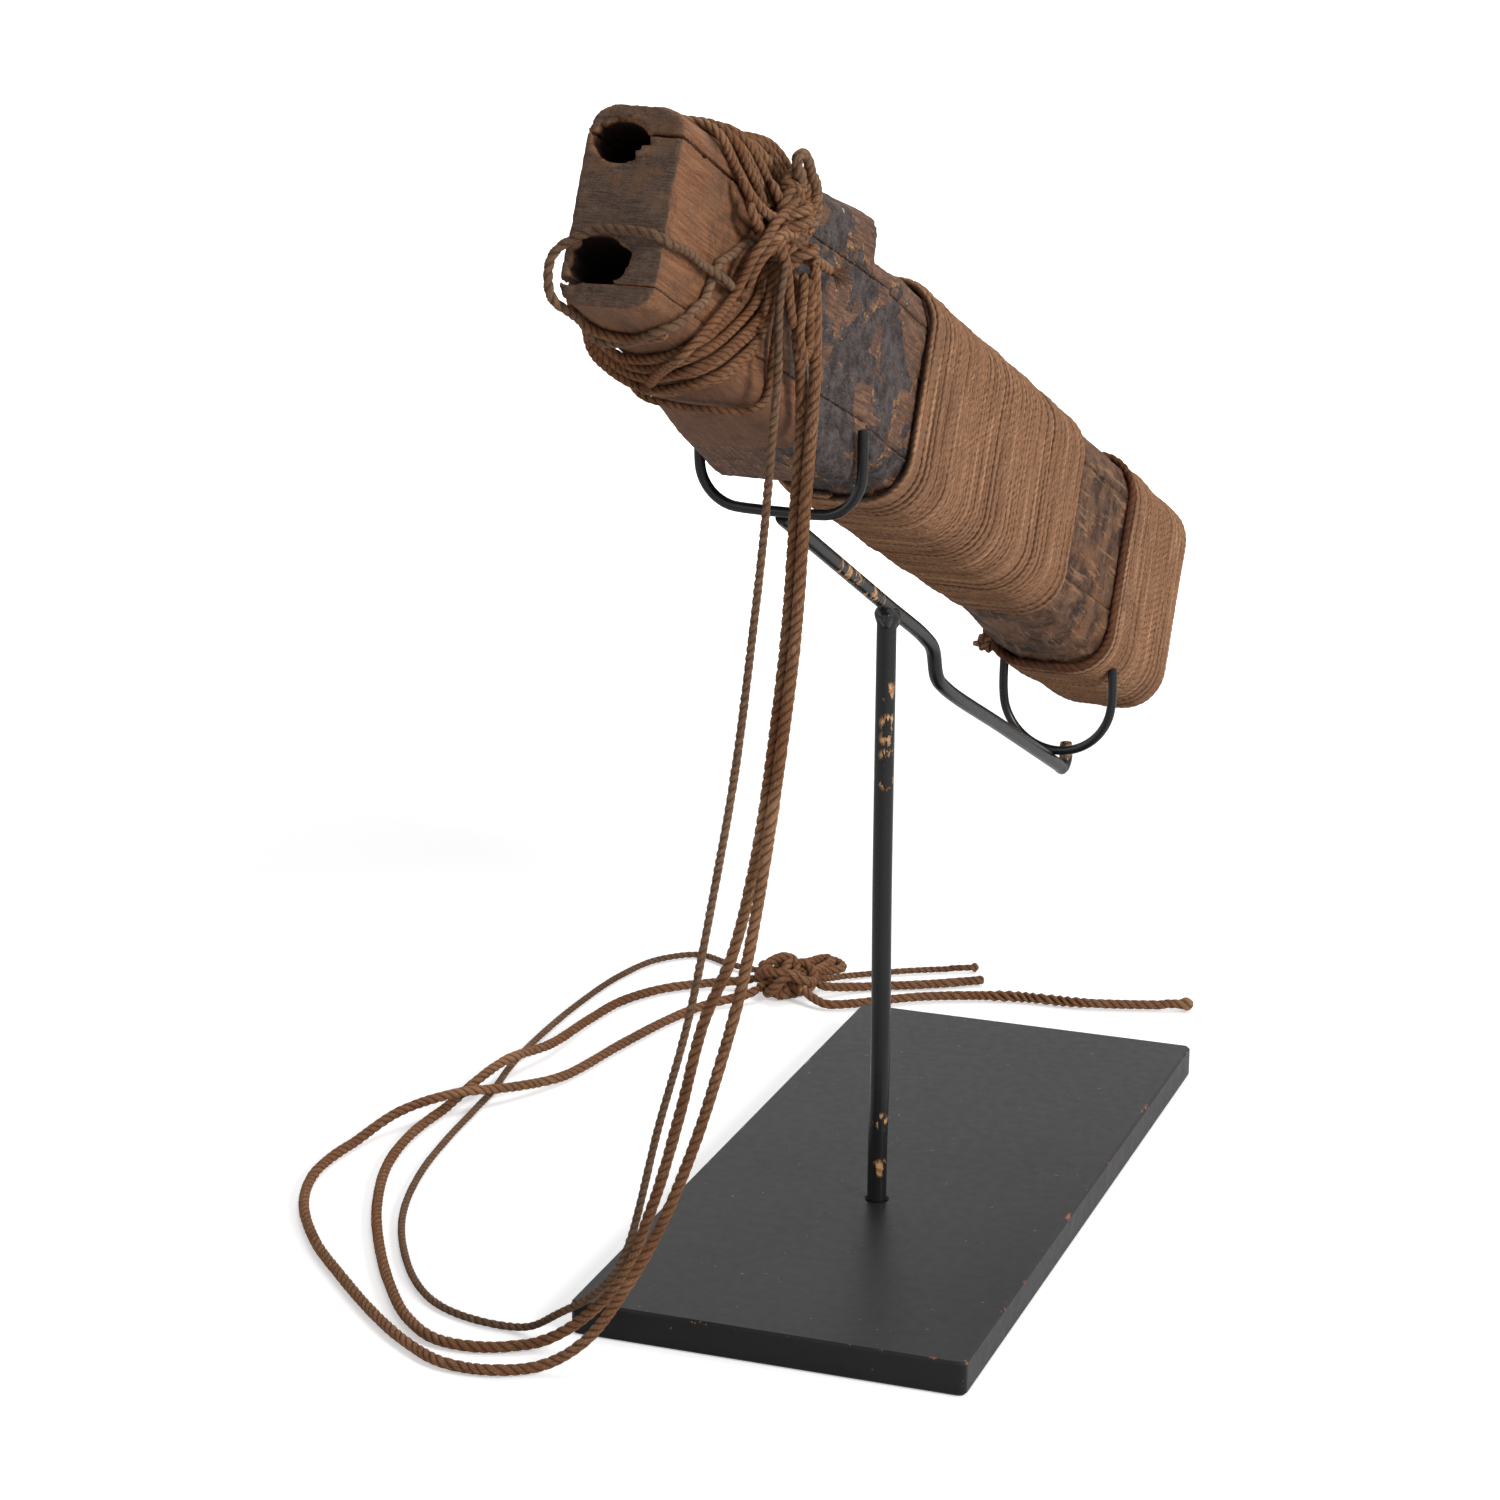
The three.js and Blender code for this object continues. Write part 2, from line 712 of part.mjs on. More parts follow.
// Free cords, in the part's own frame. Each route is hand chosen from the knot down to the floor knot.
const thinRoute = [
  [14.5, -174, 340], [14.5, -179, 328], [15, -181, 312], [13, -180, 290], [11, -180, 266], [7, -178, 235],
  [2, -177, 197], [-4, -175, 165], [-14, -172, 118], [-24, -169, 84], [-37, -165, 38], [-47, -161, 24],
  [-62, -155, 12], [-76, -149, 2.5], [-92, -148, 1.6], [-108, -142, 1.6], [-122, -129, 1.6],
  [-140, -101, 1.6], [-151, -76, 1.6], [-159, -45, 1.6], [-163, -15, 1.6], [-165, 10, 1.6],
  [-167, 34, 1.6], [-171, 60, 1.6], [-173, 90, 1.6], [-173, 130, 1.6], [-170, 165, 1.6],
  [-163, 188, 1.6], [-150, 199, 1.6], [-134, 192, 1.8],
];
const thickRouteLeft = [
  [13, -163.4, 335.5], [13.6, -163.2, 318], [13.5, -160, 300], [12, -160, 271], [10, -160, 234], [7, -160, 205],
  [2, -160, 168], [-4, -159, 136], [-13, -158, 113], [-20, -158, 84], [-30, -157, 52], [-42, -156, 26],
  [-57, -155, 9], [-68, -158, 2.6], [-82, -166, 2.2], [-98, -166, 2.2], [-113, -155, 2.2],
  [-129, -134, 2.2], [-146, -106, 2.2], [-160, -78, 2.2], [-172, -44, 2.2], [-176, -15, 2.2],
  [-175, 10, 2.2], [-173, 28, 4.6], [-169, 50, 7], [-163, 76, 4.6], [-162, 112, 2.2],
  [-158, 136, 2.2], [-148, 155, 2.2], [-134, 166, 2.6],
];
const thickRouteRight = [
  [18.5, -162, 336], [18.5, -160, 318], [18, -160, 299], [16, -160, 271], [14, -161, 234], [11, -162, 205],
  [6.3, -164, 166], [-0.7, -165, 130], [-8.5, -165, 102], [-15, -166, 80], [-24, -167, 54], [-35, -168, 30],
  [-48, -169, 11], [-60, -173, 3], [-74, -180, 2.2], [-90, -180, 2.2], [-106, -171, 2.2],
  [-124, -156, 2.2], [-146, -134, 2.2], [-166, -112, 2.2], [-184, -84, 2.2], [-192, -58, 2.2],
  [-191, -30, 2.2], [-184, -8, 6.4], [-172, 12, 7.4], [-158, 32, 4.6], [-148, 54, 2.2],
  [-141, 90, 2.2], [-134, 122, 2.2], [-127, 142, 2.2],
];
const tailRouteA = [[-86, 196, 1.8], [-66, 210, 1.8], [-41, 223, 1.8]];
const tailRouteB = [[-78, 184, 2.2], [-53, 197, 2.2], [-35, 209, 2.2]];
const tailRouteC = [
  [-82, 160, 2.4], [-50, 182, 2.2], [-19, 194, 2.2], [10, 197, 2.2], [49, 209, 2.2],
];
const bightRoute = [[-107, 203, 2.3], [-98, 210, 2.3], [-91, 203, 2.3]];

// The two points by which a cord leaves the floor knot, square to its skin, at a bearing in degrees.
function knotExit(bearing) {
  const { x, y, z, halfX, halfY, halfZ } = floorKnotPlace;
  const turn = THREE.MathUtils.degToRad(bearing);
  const level = Math.sqrt(1 - exitSink * exitSink);
  const unit = new THREE.Vector3(level * Math.cos(turn), level * Math.sin(turn), -exitSink);
  const half = new THREE.Vector3(halfX, halfY, halfZ);
  const skin = unit.clone().multiply(half).add(new THREE.Vector3(x, y, z));
  const outward = unit.divide(half).normalize();
  return [touchGap, touchGap + thickCord]
    .map((reach) => skin.clone().addScaledVector(outward, reach).toArray());
}

function addFreeCords() {
  const hanging = {
    hanging_cord_thin: [thinRoute, thinCord, exitBearings.thin],
    hanging_cord_left: [thickRouteLeft, thickCord, exitBearings.left],
    hanging_cord_right: [thickRouteRight, thickCord, exitBearings.right],
  };
  for (const [name, [route, diameter, bearing]] of Object.entries(hanging)) {
    const whole = [...route, ...knotExit(bearing).reverse()];
    addMesh(part, name, tube(smooth(whole), diameter, cordSteps), materials.cord);
  }
  addMesh(part, 'floor_knot', knotAt(floorKnotPlace), materials.cord);
  const bightEnd = knotExit(exitBearings.bightBack).reverse();
  const bight = [...knotExit(exitBearings.bightOut), ...bightRoute, ...bightEnd];
  addMesh(part, 'floor_bight', tube(smooth(bight), thickCord, 2 * tailSteps), materials.cord);
  const tails = {
    cord_tail_thin: [tailRouteA, thinCord, exitBearings.tailThin, tailSteps],
    cord_tail_short: [tailRouteB, thickCord, exitBearings.tailShort, tailSteps],
    cord_tail_long: [tailRouteC, thickCord, exitBearings.tailLong, 2 * tailSteps],
  };
  for (const [name, [route, diameter, bearing, steps]] of Object.entries(tails)) {
    addMesh(part, name, tube(smooth([...knotExit(bearing), ...route]), diameter, steps), materials.cord);
  }
}

addPlate();
addPost();
addArm();
addFrontCradle();
addRearCradle();
addWood();
addBindings();
addHeadLashing();
addFreeCords();

stand.position.set(0, postOffset, 0);
stand.rotation.set(0, 0, -standYaw);
part.add(stand);

const axisDrop = mouthToPost * Math.sin(whistleTilt);
const axisRun = mouthToPost * Math.cos(whistleTilt);
whistle.position.set(0, -axisRun, axisHeightOverPost + axisDrop);
whistle.rotation.set(-whistleTilt, 0, 0);
stand.add(whistle);

export default part;
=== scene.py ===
import math

import bmesh
import bpy
import numpy as np
from mathutils import Matrix, Vector, noise


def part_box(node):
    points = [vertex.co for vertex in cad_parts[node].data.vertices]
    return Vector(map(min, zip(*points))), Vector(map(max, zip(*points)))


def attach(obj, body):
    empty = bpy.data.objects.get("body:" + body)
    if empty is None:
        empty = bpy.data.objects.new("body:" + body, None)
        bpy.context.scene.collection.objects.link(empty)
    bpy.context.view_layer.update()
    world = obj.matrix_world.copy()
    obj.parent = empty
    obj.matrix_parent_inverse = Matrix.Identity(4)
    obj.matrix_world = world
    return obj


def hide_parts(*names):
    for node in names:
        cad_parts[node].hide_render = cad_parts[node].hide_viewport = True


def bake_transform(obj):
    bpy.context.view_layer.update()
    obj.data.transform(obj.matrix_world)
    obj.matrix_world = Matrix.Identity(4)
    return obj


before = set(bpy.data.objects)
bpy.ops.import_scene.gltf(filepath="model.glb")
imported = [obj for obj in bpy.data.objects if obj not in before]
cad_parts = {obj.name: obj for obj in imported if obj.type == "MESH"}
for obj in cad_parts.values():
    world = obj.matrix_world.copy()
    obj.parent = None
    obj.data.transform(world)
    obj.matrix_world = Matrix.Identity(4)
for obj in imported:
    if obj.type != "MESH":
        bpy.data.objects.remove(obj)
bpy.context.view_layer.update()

# Main sizes, in millimetres
MM = 0.001
LENGTH = 467
TILT = math.radians(24.6)
YAW = math.radians(4)
POST_Y = -33.5
MOUTH_TO_POST = 209.5
AXIS_HEIGHT = 271.4
POST_ROD = 6.35
ARM_ROD = 4.76
WIRE = 3.2

# Places on the stand, on the floor and on the whistle, all given in millimetres
floor_place = Matrix.Scale(MM, 4)
stand_place = floor_place @ Matrix.Translation((0, POST_Y, 0)) @ Matrix.Rotation(-YAW, 4, "Z")
mouth = (0, -MOUTH_TO_POST * math.cos(TILT), AXIS_HEIGHT + MOUTH_TO_POST * math.sin(TILT))
whistle_place = stand_place @ Matrix.Translation(mouth) @ Matrix.Rotation(-TILT, 4, "X")


def put_in_scene(name, data):
    thing = bpy.data.objects.new(name, data)
    bpy.context.scene.collection.objects.link(thing)
    return thing


# Camera, as the plate's eight corners in the photograph give it
CAMERA_AT = (0.3421, -1.1091, 0.4867)
CAMERA_YAW = math.radians(-19.81)
CAMERA_PITCH = math.radians(15.97)
CAMERA_ROLL = math.radians(0.4)
FOCAL_PIXELS = 3698
PHOTO_PIXELS = 1500
SENSOR = 36


def place_camera():
    yaw, pitch, roll = CAMERA_YAW, CAMERA_PITCH, CAMERA_ROLL
    ahead = Vector((math.sin(yaw) * math.cos(pitch), math.cos(yaw) * math.cos(pitch), -math.sin(pitch)))
    level = Vector((math.cos(yaw), -math.sin(yaw), 0))
    above = level.cross(ahead)
    right = math.cos(roll) * level + math.sin(roll) * above
    up = -math.sin(roll) * level + math.cos(roll) * above
    data = bpy.data.cameras.new("photo_camera")
    data.sensor_width = SENSOR
    data.lens = SENSOR * FOCAL_PIXELS / PHOTO_PIXELS
    data.clip_end = 20
    camera = put_in_scene("photo_camera", data)
    camera.matrix_world = Matrix.Translation(CAMERA_AT) @ Matrix((right, up, -ahead)).transposed().to_4x4()
    bpy.context.scene.camera = camera


place_camera()


# Node materials
class Nodes:
    """A material's node tree, with short ways to add the nodes that these finishes use."""

    def __init__(self, name):
        self.material = bpy.data.materials.new(name)
        self.material.use_nodes = True
        self.tree = self.material.node_tree
        self.shader = self.tree.nodes["Principled BSDF"]

    def put(self, socket, value):
        if isinstance(value, bpy.types.NodeSocket):
            self.tree.links.new(value, socket)
        elif isinstance(value, (tuple, list)) and socket.type == "RGBA":
            socket.default_value = (*value, 1)
        else:
            socket.default_value = value

    def texture_point(self, what):
        return self.tree.nodes.new("ShaderNodeTexCoord").outputs[what]

    def attribute(self, name):
        node = self.tree.nodes.new("ShaderNodeAttribute")
        node.attribute_name = name
        return node.outputs["Fac"]

    def place(self, point, matrix=None, scale=None):
        node = self.tree.nodes.new("ShaderNodeMapping")
        self.put(node.inputs["Vector"], point)
        if matrix is not None:
            place, turn, size = matrix.decompose()
            node.inputs["Location"].default_value = place
            node.inputs["Rotation"].default_value = turn.to_euler("XYZ")
            node.inputs["Scale"].default_value = size
        if scale is not None:
            node.inputs["Scale"].default_value = scale
        return node.outputs["Vector"]

    def noise(self, point, scale, detail, rough, distort=0.0):
        node = self.tree.nodes.new("ShaderNodeTexNoise")
        self.put(node.inputs["Vector"], point)
        node.inputs["Scale"].default_value = scale
        node.inputs["Detail"].default_value = detail
        node.inputs["Roughness"].default_value = rough
        node.inputs["Distortion"].default_value = distort
        return node.outputs["Fac"]

    def steps(self, value, low, high, start=0.0, end=1.0):
        """A soft step from start to end, while the value goes from low to high."""
        node = self.tree.nodes.new("ShaderNodeMapRange")
        node.interpolation_type = "SMOOTHSTEP"
        self.put(node.inputs["Value"], value)
        node.inputs["From Min"].default_value = low
        node.inputs["From Max"].default_value = high
        node.inputs["To Min"].default_value = start
        node.inputs["To Max"].default_value = end
        return node.outputs["Result"]

    def patches(self, point, scale, detail, rough, low, high, start=0.0, end=1.0):
        """Patches of the end value, where a noise passes high, on the start value."""
        return self.steps(self.noise(point, scale, detail, rough), low, high, start, end)

    def math(self, what, a, b=0.0):
        node = self.tree.nodes.new("ShaderNodeMath")
        node.operation = what
        self.put(node.inputs[0], a)
        self.put(node.inputs[1], b)
        return node.outputs[0]

    def plus(self, a, b):
        return self.math("ADD", a, b)

    def minus(self, a, b):
        return self.math("SUBTRACT", a, b)

    def times(self, a, b):
        return self.math("MULTIPLY", a, b)

    def larger(self, a, b):
        return self.math("MAXIMUM", a, b)

    def smaller(self, a, b):
        return self.math("MINIMUM", a, b)

    def mix(self, share, a, b):
        node = self.tree.nodes.new("ShaderNodeMix")
        node.data_type = "RGBA"
        self.put(node.inputs[0], share)
        self.put(node.inputs[6], a)
        self.put(node.inputs[7], b)
        return node.outputs[2]

    def split(self, point):
        node = self.tree.nodes.new("ShaderNodeSeparateXYZ")
        self.put(node.inputs[0], point)
        return node.outputs

    def near(self, point, place, reach):
        """1 within reach of a place, given in the point's own units, fading to 0 at twice that."""
        node = self.tree.nodes.new("ShaderNodeVectorMath")
        node.operation = "DISTANCE"
        self.put(node.inputs[0], point)
        node.inputs[1].default_value = place
        return self.steps(node.outputs["Value"], reach, 2 * reach, 1, 0)

    def facing(self, direction):
        """1 on faces that look along a direction, 0 on those that look away or aside."""
        node = self.tree.nodes.new("ShaderNodeVectorMath")
        node.operation = "DOT_PRODUCT"
        self.put(node.inputs[0], self.texture_point("Normal"))
        node.inputs[1].default_value = Vector(direction).normalized()
        return self.steps(node.outputs["Value"], 0.62, 0.8)

    def pointed(self):
        return self.tree.nodes.new("ShaderNodeNewGeometry").outputs["Pointiness"]

    def bump(self, height, strength, distance, normal=None):
        node = self.tree.nodes.new("ShaderNodeBump")
        self.put(node.inputs["Height"], height)
        node.inputs["Strength"].default_value = strength
        node.inputs["Distance"].default_value = distance
        if normal is not None:
            self.put(node.inputs["Normal"], normal)
        return node.outputs["Normal"]

    def finish(self, color, rough, normal, specular):
        self.put(self.shader.inputs["Base Color"], color)
        self.put(self.shader.inputs["Roughness"], rough)
        self.put(self.shader.inputs["Normal"], normal)
        self.shader.inputs["Specular IOR Level"].default_value = specular
        return self.material


# Wood colours
SIDE_DARK = (0.15, 0.058, 0.026)
SIDE_LIGHT = (0.32, 0.152, 0.074)
SIDE_BLOTCH = (0.15, 0.078, 0.046)
PORES = (0.06, 0.028, 0.016)
END_DARK = (0.05, 0.032, 0.024)
END_LIGHT = (0.14, 0.089, 0.064)
END_PALE = (0.185, 0.118, 0.08)
END_CHECKS = (0.02, 0.013, 0.01)
END_WARM = (0.17, 0.088, 0.046)
SPECK_DARK = (0.03, 0.016, 0.011)
SPECK_PALE = (0.38, 0.23, 0.14)
# Painted shade on the downward faces of the wood
UNDERSIDE_SHADE = (0.125, 0.06, 0.035)
DIRT = (0.062, 0.034, 0.022)
WORN_DARK = (0.09, 0.045, 0.028)
WORN_LIGHT = (0.245, 0.13, 0.08)
WORN_DIRT = (0.1, 0.06, 0.044)
WORN_CRACK = (0.04, 0.021, 0.014)
PAINT_DARK = (0.022, 0.018, 0.018)
PAINT_LIGHT = (0.095, 0.077, 0.074)
PAINT_RUBBED = (0.15, 0.1, 0.08)
PAINT_CRACK = (0.01, 0.008, 0.008)
OCHRE_DARK = (0.3, 0.14, 0.06)
OCHRE_LIGHT = (0.48, 0.27, 0.12)
FLAKE = (0.6, 0.46, 0.26)
REAR_DARK = (0.042, 0.022, 0.015)
REAR_LIGHT = (0.19, 0.098, 0.055)
REAR_RUST = (0.25, 0.085, 0.028)
REAR_STREAK = (0.33, 0.185, 0.1)
REAR_SPOT = (0.028, 0.017, 0.013)
RUBBED_EDGE = (0.29, 0.165, 0.095)
# Painted shade in concave corners
CORNER_SHADE = (0.018, 0.011, 0.008)
# Painted shade inside the mouth holes and wind ways
HOLE_SHADE = (0.006, 0.004, 0.004)

# Stations along the whistle, in millimetres, between which one look gives way to the next
PAINT_STARTS = (90, 97)
REAR_STARTS = (325, 332)
# The wind way stations bound the painted shade inside the holes
WIND_WAY_STARTS = (0.6, 3.2)
WIND_WAY_ENDS = (300, 330)

# Mouth holes: middle and half sizes on the end face, in millimetres
HOLES = (
    {"x": -4, "z": 18, "half_x": 8.2, "half_z": 6.2},
    {"x": -4.2, "z": -13.8, "half_x": 8.8, "half_z": 6.9},
)


def hole_shade_mask(n, x, z, y, hole):
    """Where painted shade goes: 1 on the walls of a mouth hole and of the wind way behind it."""
    across = n.math("DIVIDE", n.minus(x, hole["x"]), hole["half_x"])
    up = n.math("DIVIDE", n.minus(z, hole["z"]), hole["half_z"])
    out = n.plus(n.times(across, across), n.times(up, up))
    shown = n.times(n.steps(y, *WIND_WAY_STARTS), n.steps(y, *WIND_WAY_ENDS, 1, 0))
    return n.times(n.steps(out, 1.0, 1.35, 1, 0), shown)


def bare_wood(n, point, z):
    """Worn brown wood: long grain on the sides, crossing grain on the end, dirt and dark pores."""
    grain = n.noise(n.place(point, scale=(1.1, 0.045, 1.1)), 1.0, 5, 0.6, 0.6)
    fine = n.noise(n.place(point, scale=(5.5, 0.16, 5.5)), 1.0, 3, 0.6)
    side = n.mix(n.steps(grain, 0.3, 0.72), SIDE_DARK, SIDE_LIGHT)
    side = n.mix(n.patches(point, 0.06, 4, 0.6, 0.42, 0.68, 0, 0.7), side, SIDE_BLOTCH)
    side = n.mix(n.steps(fine, 0.54, 0.7, 0, 0.35), side, PORES)
    rows = n.noise(n.place(point, scale=(0.14, 1.0, 3.1)), 1.0, 5, 0.7, 1.1)
    face = n.mix(n.steps(rows, 0.4, 0.58), END_DARK, END_LIGHT)
    face = n.mix(n.patches(point, 0.16, 4, 0.62, 0.5, 0.68, 0, 0.65), face, END_PALE)
    checks = n.patches(n.place(point, scale=(0.3, 1.0, 6.0)), 1.0, 3, 0.7, 0.6, 0.66, 0, 0.8)
    face = n.mix(checks, face, END_CHECKS)
    warm = n.times(n.patches(point, 0.12, 4, 0.6, 0.42, 0.6), n.steps(z, -3, 8, 0.1, 0.8))
    face = n.mix(warm, face, END_WARM)
    color = n.mix(n.facing(whistle_place.to_3x3() @ Vector((0, -1, 0))), side, face)
    speck = n.noise(n.place(point, scale=(2.8, 1.3, 2.2)), 1.0, 4, 0.8)
    color = n.mix(n.steps(speck, 0.56, 0.66, 0, 0.75), color, SPECK_DARK)
    color = n.mix(n.steps(speck, 0.33, 0.42, 0.55, 0), color, SPECK_PALE)
    # Painted shade: darker towards the bottom of the whistle, below z -22
    color = n.mix(n.steps(z, -31, -22, 0.7, 0.0), color, UNDERSIDE_SHADE)
    return n.mix(n.patches(point, 0.11, 5, 0.66, 0.52, 0.66, 0, 0.5), color, DIRT), grain, fine


def old_paint(n, point, grain, fine, grit):
    """Blue-black paint, crazed and worn in islands to brown wood, with a few ochre chips at their rims."""
    worn = n.noise(n.place(point, scale=(0.045, 0.032, 0.045)), 1.0, 10, 0.62, 0.4)
    worn = n.plus(worn, n.steps(n.split(point)[2], 5, 30, -0.02, 0.025))
    worn = n.plus(worn, n.patches(point, 0.9, 4, 0.7, 0.35, 0.65, -0.012, 0.012))
    crack = n.patches(n.place(point, scale=(1.5, 0.45, 1.5)), 1.0, 6, 0.8, 0.53, 0.61)
    under = n.mix(n.steps(grain, 0.35, 0.7), WORN_DARK, WORN_LIGHT)
    under = n.mix(n.patches(point, 0.2, 5, 0.7, 0.46, 0.6, 0, 0.75), under, WORN_DIRT)
    under = n.mix(n.times(crack, 0.6), under, WORN_CRACK)
    black = n.mix(n.patches(point, 0.22, 6, 0.72, 0.36, 0.64), PAINT_DARK, PAINT_LIGHT)
    black = n.mix(n.steps(fine, 0.52, 0.66, 0, 0.65), black, PAINT_RUBBED)
    black = n.mix(n.times(crack, 0.75), black, PAINT_CRACK)
    cover = n.steps(worn, 0.497, 0.517, 1, 0)
    color = n.mix(cover, under, black)
    rim = n.times(n.steps(worn, 0.49, 0.5), n.steps(worn, 0.514, 0.528, 1, 0))
    bare = n.noise(point, 0.16, 6, 0.66, 0.5)
    chips = n.times(n.steps(bare, 0.55, 0.58), rim)
    chips = n.larger(chips, n.steps(bare, 0.7, 0.71))
    color = n.mix(chips, color, n.mix(n.steps(grit, 0.4, 0.65), OCHRE_DARK, OCHRE_LIGHT))
    return n.mix(n.patches(point, 0.36, 3, 0.5, 0.735, 0.745), color, FLAKE), cover


def rusty_rear(n, point):
    """The bare stretch between the bindings: dark, blotched with rust, with tan streaks along the grain."""
    color = n.mix(n.patches(point, 0.09, 8, 0.68, 0.38, 0.62), REAR_DARK, REAR_LIGHT)
    rust = n.times(n.patches(point, 0.06, 6, 0.7, 0.52, 0.6), n.patches(point, 0.7, 4, 0.7, 0.4, 0.6))
    color = n.mix(n.times(rust, 0.6), color, REAR_RUST)
    streaks = n.patches(n.place(point, scale=(0.5, 0.05, 0.5)), 1.0, 7, 0.7, 0.55, 0.62, 0, 0.7)
    color = n.mix(streaks, color, REAR_STREAK)
    return n.mix(n.patches(point, 0.8, 5, 0.75, 0.54, 0.64, 0, 0.7), color, REAR_SPOT)


def wood_material(name):
    """Bare wood at the neck, old paint on the body and rust behind, with painted shade underneath, in concave
    corners and in the mouth holes, all placed in the whistle's own frame.
    """
    n = Nodes(name)
    point = n.place(n.texture_point("Object"), whistle_place.inverted())
    x, y, z = n.split(point)[0:3]
    grit = n.noise(point, 1.4, 3, 0.6)
    color, grain, fine = bare_wood(n, point, z)
    paint, cover = old_paint(n, point, grain, fine, grit)
    reach = n.plus(y, n.times(z, 0.7))
    reach = n.plus(reach, n.times(n.noise(point, 0.07, 5, 0.6), 40.0))
    shown = n.steps(reach, *PAINT_STARTS)
    color = n.mix(shown, color, paint)
    color = n.mix(n.steps(y, *REAR_STARTS), color, rusty_rear(n, point))
    color = n.mix(n.steps(n.pointed(), 0.53, 0.6, 0, 0.5), color, RUBBED_EDGE)
    # Painted shade in concave corners, where pointiness is low
    color = n.mix(n.steps(n.pointed(), 0.4, 0.485, 0.75, 0.0), color, CORNER_SHADE)
    # Painted shade inside the mouth holes and wind ways
    for hole in HOLES:
        color = n.mix(n.times(hole_shade_mask(n, x, z, y, hole), 0.93), color, HOLE_SHADE)
    height = n.plus(n.times(grain, 0.6), n.times(fine, 0.35))
    normal = n.bump(height, 0.75, 0.8 * MM)
    normal = n.bump(n.noise(point, 1.1, 5, 0.75), 0.6, 0.7 * MM, normal)
    normal = n.bump(n.times(shown, cover), 0.6, 0.3 * MM, normal)
    return n.finish(color, n.steps(grit, 0.3, 0.7, 0.6, 0.86), normal, 0.18)


SHEEN_TINT = (0.75, 0.45, 0.28, 1)


def shaded(color, share):
    return tuple(min(1, share * c) for c in color)


def cord_material(name, dark, mid, light, tint, tint_share, groove_shade=0.55, turn_tone=0.35):
    """Twisted fibre: strands lighter on their crowns, painted shade in the grooves and under wound turns, and
    a tone that changes along it.
    """
    n = Nodes(name)
    along = n.texture_point("UV")
    point = n.texture_point("Object")
    streak = n.noise(n.place(along, scale=(520.0, 34.0, 1.0)), 1.0, 3, 0.6, 0.3)
    fibre = n.noise(n.place(along, scale=(1500.0, 60.0, 1.0)), 1.0, 4, 0.75, 0.6)
    run = n.noise(n.place(along, scale=(9.0, 0.0, 0.0)), 1.0, 3, 0.65)
    color = n.mix(n.steps(streak, 0.3, 0.7), dark, light)
    color = n.mix(n.patches(point, 90.0, 4, 0.6, 0.35, 0.65, 0.15, 0.6), color, mid)
    color = n.mix(n.patches(point, 26.0, 4, 0.6, 0.42, 0.66, 0, tint_share), color, tint)
    color = n.mix(n.steps(run, 0.33, 0.5, turn_tone, 0.0), color, dark)
    color = n.mix(n.steps(run, 0.52, 0.66, 0.0, turn_tone), color, light)
    color = n.mix(n.steps(fibre, 0.53, 0.65, 0.0, 0.7), color, shaded(dark, 0.3))
    color = n.mix(n.steps(fibre, 0.32, 0.45, 0.5, 0.0), color, shaded(light, 1.25))
    # Painted shade from the groove attribute: the grooves between strands, and the sides and undersides of
    # wound turns
    color = n.mix(n.steps(n.attribute("groove"), 0.45, 1.0, 0.0, groove_shade), color, shaded(dark, 0.22))
    normal = n.bump(streak, 0.8, 0.6 * MM)
    normal = n.bump(fibre, 0.9, 0.7 * MM, normal)
    n.shader.inputs["Sheen Weight"].default_value = 0.2
    n.shader.inputs["Sheen Roughness"].default_value = 0.6
    n.shader.inputs["Sheen Tint"].default_value = SHEEN_TINT
    return n.finish(color, 0.92, normal, 0.2)


LACQUER_DARK = (0.0088, 0.0084, 0.0084)
LACQUER_LIGHT = (0.0135, 0.0128, 0.0128)
DUST = (0.3, 0.28, 0.26)
RUBBED_BRASS = (0.3, 0.17, 0.09)
PLATE_CHIP = ((0.12, 0.03, 0.016), (0.3, 0.1, 0.05))
ROD_CHIP = ((0.3, 0.14, 0.05), (0.55, 0.32, 0.15))


def lacquer_material(name, chips_at, chip_colors, shine, rough, dusty=False, brass_at=()):
    """Black lacquer on metal, chipped where chips_at says, rubbed to brass at the places in brass_at."""
    n = Nodes(name)
    point = n.texture_point("Object")
    color = n.mix(n.patches(point, 18.0, 4, 0.6, 0.3, 0.7), LACQUER_DARK, LACQUER_LIGHT)
    if dusty:
        color = n.mix(n.patches(point, 420.0, 2, 0.5, 0.74, 0.77, 0, 0.3), color, DUST)
    chips = chips_at(n, point)
    color = n.mix(chips, color, n.mix(n.patches(point, 700.0, 2, 0.5, 0.4, 0.6), *chip_colors))
    for place, reach in brass_at:
        worn = n.times(n.near(point, place, reach), n.patches(point, 330.0, 4, 0.6, 0.4, 0.5))
        color = n.mix(worn, color, RUBBED_BRASS)
    normal = n.bump(n.noise(point, 900.0, 3, 0.6), 0.1, 0.2 * MM)
    normal = n.bump(n.minus(1.0, chips), 0.5, 0.2 * MM, normal)
    return n.finish(color, n.patches(point, 260.0, 4, 0.6, 0.3, 0.7, rough, rough + 0.06), normal, shine)


# Shared making
def smooth(mesh):
    mesh.polygons.foreach_set("use_smooth", np.ones(len(mesh.polygons), bool))


def mesh_of(shape, name):
    """A new mesh from a bmesh, which is freed."""
    mesh = bpy.data.meshes.new(name)
    shape.to_mesh(mesh)
    shape.free()
    return mesh


def bake_shape(helper, name):
    """The mesh that an object's curve or modifiers make. The object is removed."""
    mesh = bpy.data.meshes.new_from_object(helper.evaluated_get(bpy.context.evaluated_depsgraph_get()))
    bpy.data.objects.remove(helper)
    mesh.name = name
    return mesh


